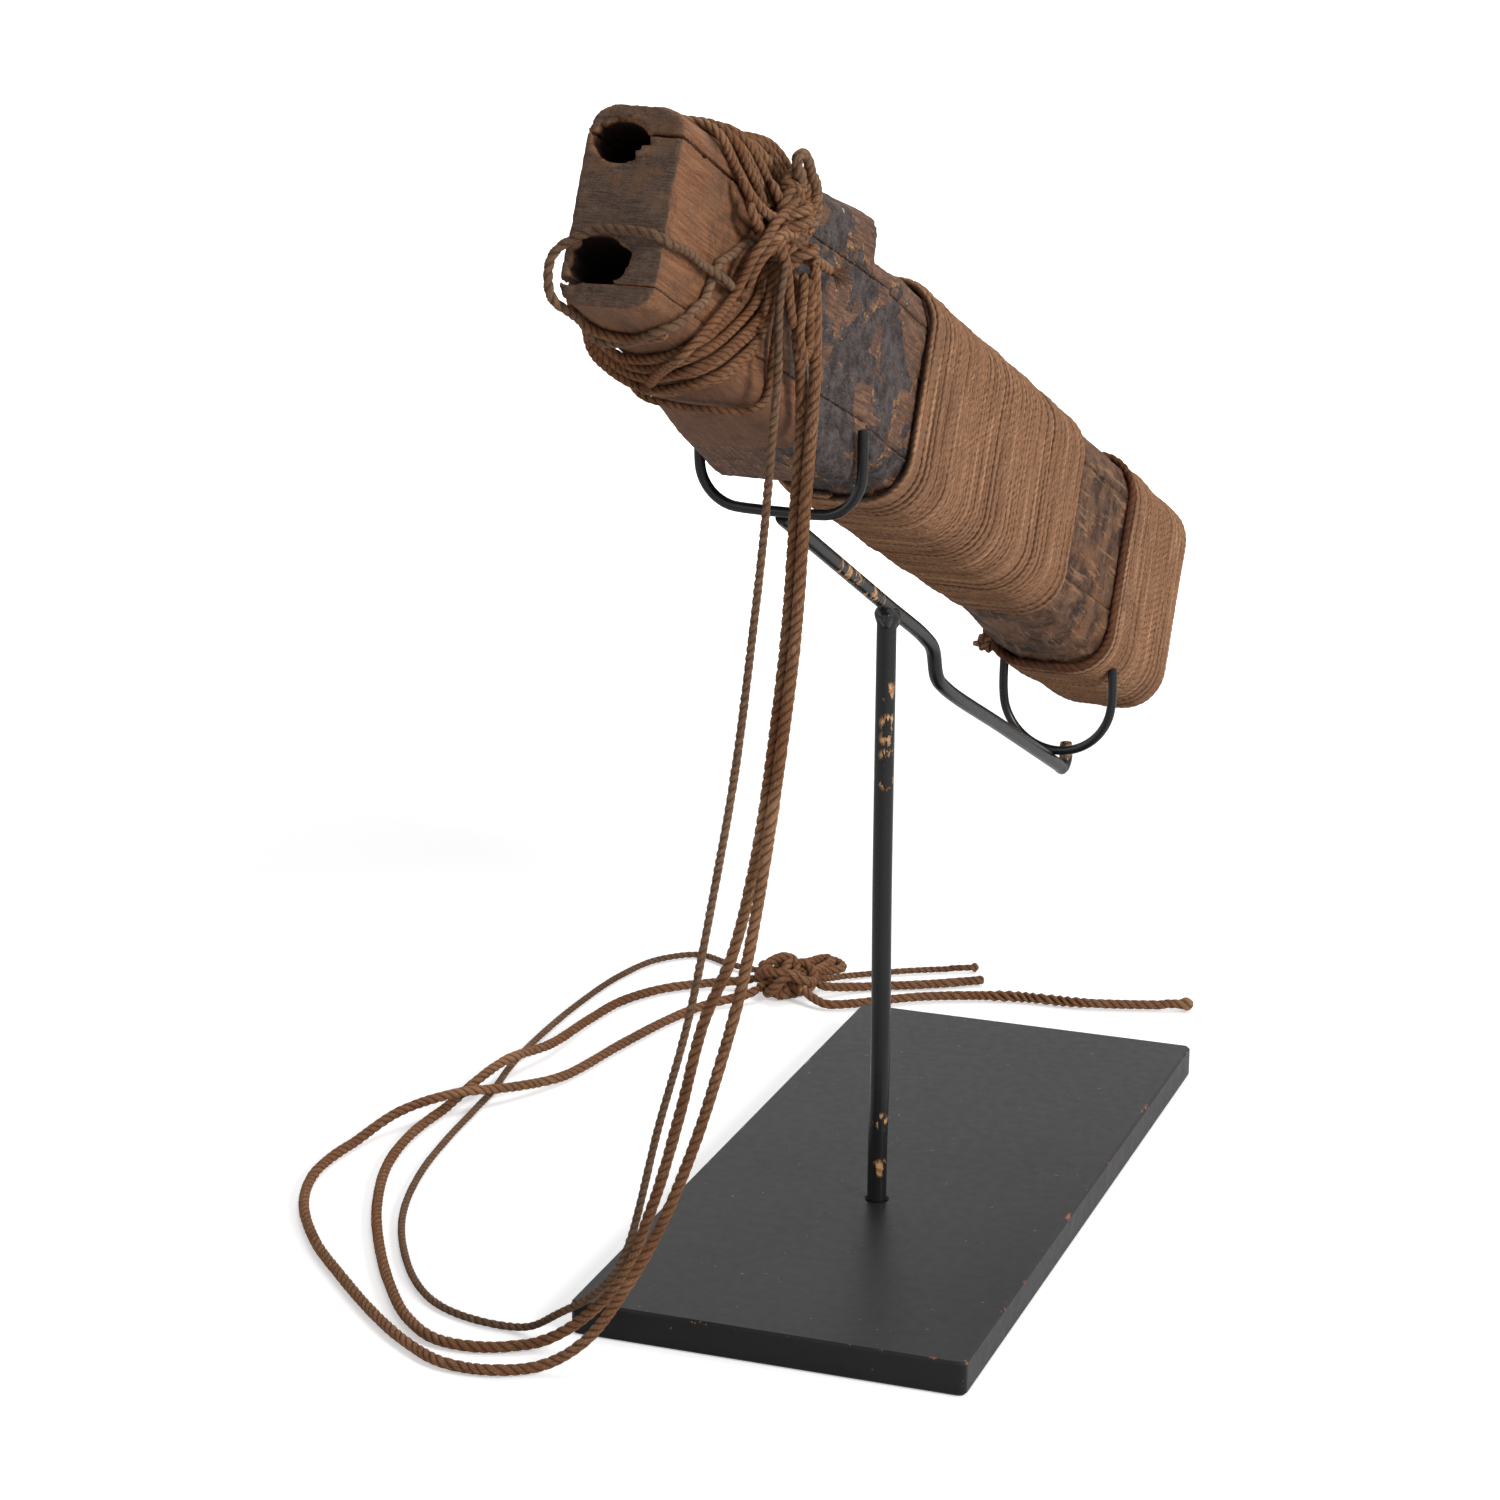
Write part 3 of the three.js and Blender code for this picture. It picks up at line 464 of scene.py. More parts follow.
def add_piece(name, mesh, body, material, nodes=()):
    piece = put_in_scene(name, mesh)
    mesh.materials.clear()
    mesh.materials.append(material)
    if body:
        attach(piece, body)
    if nodes:
        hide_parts(*nodes)
    return piece


def to_world(points, place=whistle_place):
    m = np.array(place)
    return np.asarray(points, float) @ m[:3, :3].T + m[:3, 3]


def even_path(points, step):
    """The same line through evenly spaced points."""
    points = np.asarray(points, float)
    gaps = np.linalg.norm(np.diff(points[:, :3], axis=0), axis=1)
    reach = np.concatenate([[0], np.cumsum(gaps)])
    count = max(3, int(round(reach[-1] / step)) + 1)
    at = np.linspace(0, reach[-1], count)
    return np.stack([np.interp(at, reach, points[:, k]) for k in range(points.shape[1])], 1)


def flowing(points, per_span=12):
    """A smooth curve through listed points."""
    keys = [Vector(p) for p in points]
    keys = [keys[0] * 2 - keys[1]] + keys + [keys[-1] * 2 - keys[-2]]
    out = []
    for a, b, c, d in zip(keys, keys[1:], keys[2:], keys[3:]):
        t1 = max((b - a).length, 1e-9) ** 0.5
        t2 = t1 + max((c - b).length, 1e-9) ** 0.5
        t3 = t2 + max((d - c).length, 1e-9) ** 0.5
        for i in range(per_span):
            t = t1 + (t2 - t1) * i / per_span
            p1 = a.lerp(b, t / t1)
            p2 = b.lerp(c, (t - t1) / (t2 - t1))
            p3 = c.lerp(d, (t - t2) / (t3 - t2))
            q1 = p1.lerp(p2, t / t2)
            q2 = p2.lerp(p3, (t - t1) / (t3 - t1))
            out.append(q1.lerp(q2, (t - t1) / (t2 - t1)))
    out.append(keys[-2].copy())
    return np.array([tuple(p) for p in out])


# Twisted cord: each kind's thickness, its number of strands and the length of one turn of its twist
THICK_CORD = (3.7 * MM, 3, 9.8 * MM)
THIN_CORD = (2.6 * MM, 2, 5.6 * MM)
FLOOR_KNOT_CORD = (4.0 * MM, 3, 9.8 * MM)
MAIN_BINDING_CORD = (2.36 * MM, 2, 5.2 * MM)
TAIL_BINDING_CORD = (2.2 * MM, 2, 4.9 * MM)
RING_CORD = (2.7 * MM, 2, 6 * MM)
RING_KNOT_CORD = (2.3 * MM, 2, 6 * MM)
LASHING_CORD = (2.8 * MM, 3, 7.4 * MM)
SHOULDER_CORD = (2.3 * MM, 2, 5.2 * MM)
MAIN_KNOT_CORD = (3.0 * MM, 3, 8 * MM)
KNOT_LOOP_CORD = (3.4 * MM, 3, 8.4 * MM)
MOUTH_LOOP_CORD = (2.8 * MM, 2, 6.4 * MM)
LOOSE_FIBRE = (0.42 * MM, 2, 6 * MM)

# Thickness of a cord's last rings, from its end inwards
END_SHAPES = {
    "round": (0.35, 0.75, 0.93),
    "blob": (0.5, 1.1, 1.4, 1.5, 1.45, 1.25, 1.08),
    "blunt": (0.8, 1.05, 1.08),
}
TEXTURE_SLANT = 90.0


def swelling(reach, seed, ends):
    """How much thicker or thinner the cord is along its run: a little uneven, and shaped at its two ends."""
    swell = np.array([1 + 0.05 * noise.noise(Vector((r * 160 + seed, 3.7, seed))) for r in reach])
    if len(reach) > 16:
        for k, share in enumerate(END_SHAPES["round"]):
            swell[k] *= share
        for k, share in enumerate(END_SHAPES[ends]):
            swell[-1 - k] *= share
    return swell


def across_line(path):
    """Two directions square to the line at each of its points, which don't spin as it goes."""
    tangent = np.gradient(path, axis=0)
    tangent /= np.linalg.norm(tangent, axis=1)[:, None]
    normal = np.zeros_like(path)
    first = np.cross(tangent[0], (0.31, 0.52, 0.79))
    normal[0] = first / np.linalg.norm(first)
    for i in range(1, len(path)):
        v = normal[i - 1] - tangent[i] * (normal[i - 1] @ tangent[i])
        normal[i] = v / math.sqrt(v @ v)
    return normal, np.cross(tangent, normal)


def ring_faces(count, sides, base):
    """Quads between the rings of a run, and a fan of triangles that closes each of its ends."""
    j = np.arange(sides)
    rows = np.arange(count - 1)[:, None] * sides + base
    a, b = rows + j[None, :], rows + ((j + 1) % sides)[None, :]
    quads = np.stack([a, b, b + sides, a + sides], -1).reshape(-1, 4).tolist()
    hub, last = base + count * sides, base + (count - 1) * sides
    start_fan = [(hub, base + (k + 1) % sides, base + k) for k in range(sides)]
    end_fan = [(hub + 1, last + k, last + (k + 1) % sides) for k in range(sides)]
    return quads + start_fan + end_fan


def ring_uvs(drawn, sides):
    """Each face corner's distance along the cord and turn round it, slanted roughly as the strands are."""
    spans = len(drawn) - 1
    j = np.arange(sides)
    r0, r1 = np.repeat(drawn[:-1], sides), np.repeat(drawn[1:], sides)
    v0, v1 = np.tile(j / sides, spans), np.tile((j + 1) / sides, spans)
    corners = [np.stack([r, v + r * TEXTURE_SLANT], -1) for r, v in ((r0, v0), (r0, v1), (r1, v1), (r1, v0))]
    return [np.stack(corners, 1).reshape(-1, 2), np.full((sides * 6, 2), drawn[-1])]


def twisted_mesh(name, runs, cord, per_ply=4, step=None, depth=0.18, ends="round", seed=0.0, opened=None):
    """One mesh of twisted cord, along one line or several. Its profile turns with the twist, so the grooves
    are real. A line's columns past the third point away from what it lies on, and painted shade makes it
    darker underneath."""
    diameter, plies, lay = cord
    sides = plies * per_ply
    step = step or lay / 12
    coords, faces, uvs, grooves = [], [], [], []
    base = 0
    j = np.arange(sides)
    phase = (j % per_ply) / per_ply * 2
    groove = 1 - np.where(phase > 1, 2 - phase, phase)
    for index, run in enumerate(runs):
        path = even_path(run, step)
        path, outward = path[:, :3], path[:, 3:]
        count = len(path)
        normal, side = across_line(path)
        reach = np.arange(count) * step
        swell = swelling(reach, seed + 3 * index, ends)
        cut = np.full(count, depth)
        if opened:
            loose = np.clip(np.minimum(reach - opened[0], opened[1] - reach) / 0.008, 0, 1)
            cut = cut + 0.5 * loose
            swell = swell * (1 + 0.2 * loose)
        radius = diameter / 2 * swell[:, None] * (1 - cut[:, None] * groove[None, :] ** 2)
        uneven = np.array([noise.noise(Vector((r * 110, 5.1 + index, seed))) for r in reach])
        angle = 2 * math.pi * j[None, :] / sides + (2 * math.pi * reach / lay + 1.1 * uneven)[:, None]
        points = (
            path[:, None, :]
            + (radius * np.cos(angle))[..., None] * normal[:, None, :]
            + (radius * np.sin(angle))[..., None] * side[:, None, :]
        )
        coords += [points.reshape(-1, 3), path[[0, -1]]]
        # Painted shade for the groove attribute: dark in the grooves between strands, and on a wound cord
        # also on its sides and underside
        shade = np.tile(groove, count)
        if outward.shape[1]:
            rise = ((points - path[:, None, :]) * outward[:, None, :]).sum(-1) / (diameter / 2)
            shade = np.maximum(shade * 0.62, np.clip((0.86 - rise.ravel()) / 0.5, 0, 1.0))
        grooves += [shade, np.array([0.6, 0.6])]
        faces += ring_faces(count, sides, base)
        uvs += ring_uvs(reach + 1.37 * index, sides)
        base += count * sides + 2
    mesh = bpy.data.meshes.new(name)
    mesh.from_pydata(np.concatenate(coords).tolist(), [], faces)
    layer = mesh.uv_layers.new(name="along_cord")
    layer.data.foreach_set("uv", np.concatenate(uvs).ravel().astype(np.float32))
    attribute = mesh.attributes.new("groove", "FLOAT", "POINT")
    attribute.data.foreach_set("value", np.concatenate(grooves).astype(np.float32))
    smooth(mesh)
    mesh.update()
    return mesh


# Finishes
cord_brown = cord_material(
    "brown_cord_finish", dark=(0.115, 0.042, 0.017), mid=(0.36, 0.155, 0.068), light=(0.64, 0.345, 0.185),
    tint=(0.27, 0.092, 0.032), tint_share=0.65, groove_shade=0.75, turn_tone=0.65,
)
cord_grey = cord_material(
    "weathered_cord_finish", dark=(0.11, 0.05, 0.026), mid=(0.3, 0.165, 0.092), light=(0.52, 0.315, 0.19),
    tint=(0.2, 0.135, 0.09), tint_share=0.5, groove_shade=0.66, turn_tone=0.5,
)
cord_binding = cord_material(
    "binding_cord_finish", dark=(0.2, 0.084, 0.039), mid=(0.5, 0.245, 0.128), light=(0.82, 0.45, 0.255),
    tint=(0.32, 0.175, 0.104), tint_share=0.5, groove_shade=0.82, turn_tone=0.75,
)
cord_rust = cord_material(
    "rust_cord_finish", dark=(0.07, 0.02, 0.009), mid=(0.19, 0.065, 0.025), light=(0.34, 0.13, 0.055),
    tint=(0.12, 0.05, 0.028), tint_share=0.5,
)
wood_finish = wood_material("old_wood_finish")

# The arm, in millimetres: its height at the post, its joggle behind the post, and its worn stub at the rear
ARM_AT_POST = 211.4
ARM_FRONT = -83.8
SLOPE = math.radians(28.2)
REAR_SLOPE = math.radians(26)
JOGGLE_START = 38
JOGGLE_END = 48
JOGGLE_DROP = 16.8
REAR_SEAT_TO_TAIL = 55.3
TAIL_DEPTH = 40.5
REAR_SEAT = (LENGTH - REAR_SEAT_TO_TAIL - MOUTH_TO_POST) * math.cos(TILT) - TAIL_DEPTH * math.sin(TILT)
ARM_REAR = REAR_SEAT + 8
STUB = 3.4
STUB_RISE = 8.5


def arm_height(reach):
    if reach <= JOGGLE_START:
        return ARM_AT_POST - reach * math.tan(SLOPE)
    return arm_height(JOGGLE_START) - JOGGLE_DROP - (reach - JOGGLE_END) * math.tan(REAR_SLOPE)


def on_arm(reach):
    return (0, reach, arm_height(reach))


def on_stand(points):
    return [stand_place @ Vector(p) for p in points]


# Base plate: half its width, half its length and its thickness, in millimetres
PLATE_HALF_WIDTH = 63.5
PLATE_HALF_LENGTH = 143.5
PLATE_THICKNESS = 11


def plate_chips(n, point):
    """Chips along the plate's edges only."""
    x, y, z = n.split(point)[0:3]
    dx = n.minus(PLATE_HALF_WIDTH * MM, n.math("ABSOLUTE", x))
    dy = n.minus(PLATE_HALF_LENGTH * MM, n.math("ABSOLUTE", y))
    dz = n.minus(PLATE_THICKNESS * MM, z)
    second = n.larger(n.smaller(dx, dy), n.smaller(n.larger(dx, dy), dz))
    return n.times(n.steps(second, 0.9 * MM, 1.6 * MM, 1, 0), n.patches(point, 150.0, 5, 0.66, 0.6, 0.61))


# Places on the post and the arm round which the lacquer is chipped, the chips' reach, and how rare they are
POST_CHIPS = [(2.2, -2.4, z) for z in (184, 174, 169, 163, 154.5, 39, 23)]
ARM_CHIPS = [(1, reach, arm_height(reach) + 1) for reach in (-37, -31, -15, -11)]
ROD_CHIPS = ((POST_CHIPS, 1.8 * MM, 0.555), (ARM_CHIPS, 4.2 * MM, 0.53))


def rod_chips(n, point):
    """Chips close to the worn places of the post and the arm, and a few elsewhere."""
    fine = n.noise(n.place(point, scale=(1.0, 0.8, 0.4)), 330.0, 5, 0.66)
    chips = n.steps(fine, 0.72, 0.73)
    for places, reach, rare in ROD_CHIPS:
        for place in on_stand(places):
            chips = n.larger(chips, n.times(n.near(point, place, reach), n.steps(fine, rare, rare + 0.01)))
    return chips


stub_end = on_stand([(0, ARM_REAR + STUB, arm_height(ARM_REAR) + STUB_RISE)])[0]
plate_finish = lacquer_material("plate_lacquer_finish", plate_chips, PLATE_CHIP, 0.18, 0.36, dusty=True)
rod_finish = lacquer_material(
    "rod_lacquer_finish", rod_chips, ROD_CHIP, 0.3, 0.25, brass_at=[(stub_end, 3.5 * MM)]
)

# Whistle outline: half widths, tops, depths and corner radii at stations along it, in millimetres
NECK_END = 44
FLARE_LENGTH = 90
FLARE_STEPS = 5


def flare(start, gain, power):
    """Stations along the neck's flare, where a size grows from start by gain."""
    shares = [i / FLARE_STEPS for i in range(1, FLARE_STEPS + 1)]
    return [(NECK_END + FLARE_LENGTH * share, start + gain * share**power) for share in shares]


WIDTHS = [
    (0, 14), (NECK_END, 14), *flare(14, 9.6, 0.85), (136, 21.8), (150, 21.8), (171, 20.6),
    (331, 20.6), (333, 21.8), (392, 21.8), (394, 20.6), (LENGTH, 20.6),
]
TOPS = [
    (0, 28), (NECK_END, 31), (120, 38.5), (122, 27), (136, 27), (171, 33),
    (331, 33), (333, 34.2), (392, 34.2), (394, 33), (LENGTH, 33),
]
DEPTHS = [
    (0, 26.5), (NECK_END, 30.5), *flare(30.5, 9, 0.6), (136, 27), (150, 27), (171, 32.5),
    (331, 32.5), (333, 33.7), (392, TAIL_DEPTH), (LENGTH, TAIL_DEPTH),
]
ROUNDS = [(0, 7.5), (NECK_END, 7.5), (134, 6), (150, 6), (171, 13), (LENGTH, 13)]


def between(line, y):
    for (y0, v0), (y1, v1) in zip(line, line[1:]):
        if y <= y1:
            return v0 + (v1 - v0) * max(0.0, (y - y0) / (y1 - y0))
    return line[-1][1]


def outline_at(y):
    """Half width, top, depth and corner radius at a station."""
    return [between(line, y) for line in (WIDTHS, TOPS, DEPTHS, ROUNDS)]


def skin_point(y, turn, lift):
    """A point on the outline at station y. turn runs from the top's middle, rightwards, to 1 back there."""
    w, top, dep, r = outline_at(y)
    arc = math.pi * r / 2
    pieces = [w - r, arc, top + dep - 2 * r, arc, 2 * (w - r), arc, top + dep - 2 * r, arc, w - r]
    reach = (turn % 1.0) * sum(pieces)
    place = 0
    while place < 8 and reach > pieces[place]:
        reach -= pieces[place]
        place += 1
    corners = {
        1: (w - r, top - r, 90),
        3: (w - r, r - dep, 0),
        5: (r - w, r - dep, -90),
        7: (r - w, top - r, 180),
    }
    if place in corners:
        cx, cz, start = corners[place]
        a = math.radians(start - 90 * reach / arc)
        return (cx + (r + lift) * math.cos(a), y, cz + (r + lift) * math.sin(a))
    sides = {
        0: (reach, y, top + lift),
        2: (w + lift, y, top - r - reach),
        4: (w - r - reach, y, -dep - lift),
        6: (-w - lift, y, r - dep + reach),
        8: (r - w + reach, y, top + lift),
    }
    return sides[place]


# Free cords: the floor knot, and each cord's route, in millimetres
KNOT = Vector((-104, 171, 7))
KNOT_HALF = Vector((12, 13, 6.5))


def knot_exit(bearing, sink=0.2):
    """Two points where a cord leaves the floor knot: on its skin, and a little further out."""
    turn = math.radians(bearing)
    level = math.sqrt(1 - sink * sink)
    unit = Vector((level * math.cos(turn), level * math.sin(turn), -sink))
    skin = Vector([u * h for u, h in zip(unit, KNOT_HALF)]) + KNOT
    out = Vector([u / h for u, h in zip(unit, KNOT_HALF)]).normalized()
    return [tuple(skin + out * 0.3), tuple(skin + out * 4.0)]


THIN = [
    (14.5, -174, 340), (14.5, -179, 328), (15, -181, 312), (13, -180, 290), (11, -180, 266), (7, -178, 235),
    (2, -177, 197), (-4, -175, 165), (-14, -172, 118), (-24, -169, 84), (-37, -165, 38), (-47, -161, 24),
    (-62, -155, 12), (-76, -149, 2.5), (-92, -148, 1.6), (-108, -142, 1.6), (-122, -129, 1.6),
    (-140, -101, 1.6), (-151, -76, 1.6), (-159, -45, 1.6), (-163, -15, 1.6), (-165, 10, 1.6),
    (-167, 34, 1.6), (-171, 60, 1.6), (-173, 90, 1.6), (-173, 130, 1.6), (-170, 165, 1.6), (-163, 188, 1.6),
    (-150, 199, 1.6), (-134, 192, 1.8),
]
LEFT = [
    (13, -163.4, 335.5), (14.2, -163, 318), (14.2, -159, 300), (12.7, -158.6, 271), (10.7, -159.4, 234),
    (7.8, -160, 205), (2.6, -160, 168), (-5, -159, 136), (-14.4, -158, 113), (-21.6, -158, 84),
    (-31, -157, 52), (-42, -156, 26), (-57, -155, 9), (-68, -158, 2.6), (-82, -166, 2.2), (-98, -166, 2.2),
    (-113, -155, 2.2), (-129, -134, 2.2), (-146, -106, 2.2), (-160, -78, 2.2), (-172, -44, 2.2),
    (-176, -15, 2.2), (-175, 10, 2.2), (-173, 28, 4.6), (-169, 50, 7), (-163, 76, 4.6), (-162, 112, 2.2),
    (-158, 136, 2.2), (-148, 155, 2.2), (-134, 166, 2.6),
]
RIGHT = [
    (18.5, -162, 336), (18.5, -160, 318), (18, -160, 299), (16, -160, 271), (14, -161, 234),
    (11, -162, 205), (6.3, -164, 166), (0.3, -165, 130), (-7, -165, 102), (-13.4, -166, 80),
    (-23, -167, 54), (-35, -168, 30), (-48, -169, 11), (-60, -173, 3), (-74, -180, 2.2), (-90, -180, 2.2),
    (-106, -171, 2.2), (-124, -156, 2.2), (-146, -134, 2.2), (-166, -112, 2.2), (-184, -84, 2.2),
    (-192, -58, 2.2), (-191, -30, 2.2), (-184, -8, 6.4), (-172, 12, 7.4), (-158, 32, 4.6), (-148, 54, 2.2),
    (-141, 90, 2.2), (-134, 122, 2.2), (-127, 142, 2.2),
]
TAIL_THIN = [(-86, 196, 1.8), (-66, 210, 1.8), (-41, 223, 1.8)]
TAIL_SHORT = [(-78, 184, 2.2), (-53, 197, 2.2), (-35, 209, 2.2)]
TAIL_LONG = [(-82, 160, 2.4), (-50, 182, 2.2), (-19, 194, 2.2), (10, 197, 2.2), (49, 209, 2.2)]
BIGHT = [(-107, 203, 2.3), (-98, 210, 2.3), (-91, 203, 2.3)]
FLOOR_FOLD = [
    (-106, 184, 5), (-103.5, 193, 4.6), (-101.5, 202, 4.4), (-98.5, 206, 4.2), (-95.5, 202, 4.4),
    (-96.5, 193, 4.8), (-98, 184, 5),
]


def free_cord(name, route, cord, material, blended=False, ends="round", opened=None):
    """A cord on its route, clear of the floor. A blended one follows the whistle at its upper end."""
    diameter = cord[0]
    path = even_path(flowing([Vector(p) * MM for p in route], 10), 1.2 * MM)
    lowest = np.full(len(path), (0.68 if opened else 0.56) * diameter)
    if ends == "blob":
        lowest[-10:] = 0.82 * diameter
    path[:, 2] = np.maximum(path[:, 2], lowest)
    mesh = twisted_mesh(name, [path], cord, seed=len(name), ends=ends, opened=opened)
    body = None if blended else "stand"
    piece = add_piece(name, mesh, body, material, [name.replace("_strand", "")])
    if blended:
        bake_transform(piece)


KNOT_POINTS = 48


def knot_runs(centre, half, tube, place, turns):
    """Overhand knots of cord, each a closed three-lobed line squeezed into the knot's room."""
    runs = []
    room = Vector(half) - Vector((tube, tube, tube)) / 2
    for k, start in enumerate(turns):
        points = []
        for i in range(KNOT_POINTS + 1):
            t = 2 * math.pi * i / KNOT_POINTS
            x, y = math.sin(t) + 2 * math.sin(2 * t), math.cos(t) - 2 * math.cos(2 * t)
            p = Vector((x, y, -1.6 * math.sin(3 * t))) / 3
            p.rotate(Matrix.Rotation(start, 3, Vector((0.3, 0.4 + 0.3 * k, 1)).normalized()))
            offset = (p.x * room.x, p.y * room.y, p.z * room.z * 1.6)
            points.append([c + o for c, o in zip(centre, offset)])
        runs.append(to_world(flowing(points, 6), place))
    return runs


# Bearings at which the cords leave the floor knot, in degrees
EXITS = {
    "thin": 135, "left": 182, "right": 236, "bight": 108, "bight end": 74,
    "thin tail": 44, "short tail": 12, "long tail": -32,
}


def out_of_knot(cord):
    return knot_exit(EXITS[cord])


def into_knot(cord):
    return knot_exit(EXITS[cord])[::-1]


def make_floor_knot():
    floor = knot_runs(KNOT, (13, 14, 6.6), 4.0, floor_place, (0.0, 1.9, 3.6))
    floor.append(to_world(flowing(FLOOR_FOLD), floor_place))
    for cord in EXITS:
        skin = Vector(out_of_knot(cord)[0])
        floor.append(to_world(flowing([KNOT.lerp(skin, 0.3), KNOT.lerp(skin, 0.65), skin]), floor_place))
    for run in floor:
        run[:, 2] = np.maximum(run[:, 2], 2.3 * MM)
    mesh = twisted_mesh("floor_knot_strands", floor, FLOOR_KNOT_CORD, seed=5)
    return add_piece("floor_knot_strands", mesh, "stand", cord_brown, ["floor_knot"])


def make_free_cords():
    floor_knot = make_floor_knot()
    thin, left, right = THIN + into_knot("thin"), LEFT + into_knot("left"), RIGHT + into_knot("right")
    free_cord("hanging_cord_thin_strand", thin, THIN_CORD, cord_grey, True)
    free_cord("hanging_cord_left_strand", left, THICK_CORD, cord_brown, True)
    free_cord("hanging_cord_right_strand", right, THICK_CORD, cord_brown, True)
    bight = out_of_knot("bight") + BIGHT + into_knot("bight end")
    free_cord("floor_bight_strand", bight, THICK_CORD, cord_brown)
    tail = out_of_knot("thin tail") + TAIL_THIN
    free_cord("cord_tail_thin_strand", tail, THIN_CORD, cord_brown, ends="blob")
    tail = out_of_knot("short tail") + TAIL_SHORT
    free_cord("cord_tail_short_strand", tail, THICK_CORD, cord_brown, ends="blunt")
    tail = out_of_knot("long tail") + TAIL_LONG
    opened = (0.072, 0.118)
    free_cord("cord_tail_long_strand", tail, THICK_CORD, cord_brown, ends="blob", opened=opened)


make_free_cords()


# Wood
def carve(name, node, voxel):
    """A board as worn wood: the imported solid's copy on an even skin, with rubbed edges and uneven faces."""
    shape = bmesh.new()
    shape.from_mesh(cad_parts[node].data)
    bmesh.ops.remove_doubles(shape, verts=shape.verts, dist=2e-6)
    blank = put_in_scene(name + "_blank", mesh_of(shape, name + "_blank"))
    even = blank.modifiers.new("even_skin", "REMESH")
    even.mode = "VOXEL"
    even.voxel_size = voxel
    ease = blank.modifiers.new("rubbed", "SMOOTH")
    ease.iterations = 1
    ease.factor = 0.5
    board = bake_shape(blank, name)
    wear(board)
    add_piece(name, board, "whistle", wood_finish, [node])


def clamped(value):
    return max(0.0, min(1.0, value))


def off_outline(v):
    """How far a point of the head stands outside the smooth outline."""
    w, top, dep, r = outline_at(v.y)
    out_x = abs(v.x) - (w - r)
    out_z = abs(v.z - (top - dep) / 2) - ((top + dep) / 2 - r)
    return math.hypot(max(out_x, 0), max(out_z, 0)) + min(max(out_x, out_z), 0) - r


def seam_wear(v, pit):
    """How far a seam's face moves: closed to a hair, open at the upper right, broken at the lower mouth."""
    closed = 0.3 if v.y > REAR_STARTS[0] or (v.z > 0 and v.x < 0) else 0.17
    if v.z > 0 and v.x > 5 and v.y < 56:
        closed = -0.18
    broken = max(0.0, 1 - v.y / 16) * clamped((-7 - v.x) / 4) if v.z < 0 else 0.0
    return closed + 0.05 * pit - 1.3 * broken


def skin_wear(v, pit):
    """How far the rest moves: dents, raised grain, ragged holes, and edges brought to the outline."""
    dent = noise.noise(v * 0.07) * 0.4
    grain = noise.noise(Vector((v.x * 0.9, v.y * 0.05, v.z * 0.9))) * 0.2
    rim = max(0.0, 1 - v.y / 8.0)
    hole = min(math.hypot((v.x - h["x"]) / h["half_x"], (v.z - h["z"]) / h["half_z"]) for h in HOLES)
    near = max(0.0, 1 - abs(hole - 1) * 2.5) * clamped((13 - abs(v.x)) / 2)
    ragged = rim * near * (2.0 * noise.noise(v * 0.22 + Vector((2, 2, 7))) + 0.8 * noise.noise(v * 0.8) - 0.3)
    corner = (14 < v.z < 17 and abs(v.x + 4) > 3) or (-13 < v.z < -5 and v.x < -7)
    if hole > 0.5 and corner:
        ragged += 1.6 * rim * near
    proud = off_outline(v)
    eased = -0.85 * proud if abs(proud) < 1.5 and 0.8 < v.y < 116 else 0.0
    return -0.2 + dent + grain + 0.16 * pit + ragged + eased


def wear(mesh):
    """Moves each point of a board in or out, by its place on the whistle and the way that it faces there."""
    count = len(mesh.vertices)
    co, normals = np.empty((2, count * 3), np.float32)
    mesh.vertices.foreach_get("co", co)
    mesh.vertices.foreach_get("normal", normals)
    co, normals = co.reshape(-1, 3), normals.reshape(-1, 3)
    back = np.array(whistle_place.inverted())
    local = co @ back[:3, :3].T + back[:3, 3]
    facing = normals @ (back[:3, :3].T / np.linalg.norm(back[:3, 0]))
    moved = np.zeros(count, np.float32)
    for i, p in enumerate(local):
        v = Vector(p)
        pit = noise.noise(v * 0.5 + Vector((9, 3, 1)))
        seam = abs(facing[i][2]) > 0.75 and -24 < v.z < 24
        moved[i] = seam_wear(v, pit) if seam else skin_wear(v, pit)
    co += normals * (moved[:, None] * MM)
    mesh.vertices.foreach_set("co", co.ravel())
    smooth(mesh)
    mesh.update()


carve("top_board_wood", "top_board", 0.88 * MM)
carve("middle_block_wood", "middle_block", 1.1 * MM)
carve("bottom_board_wood", "bottom_board", 0.88 * MM)

# Bindings, with their stations in millimetres
MAIN_FROM = 173
MAIN_TO = 331
MAIN_TURNS = 23
TURN_STEPS = 96


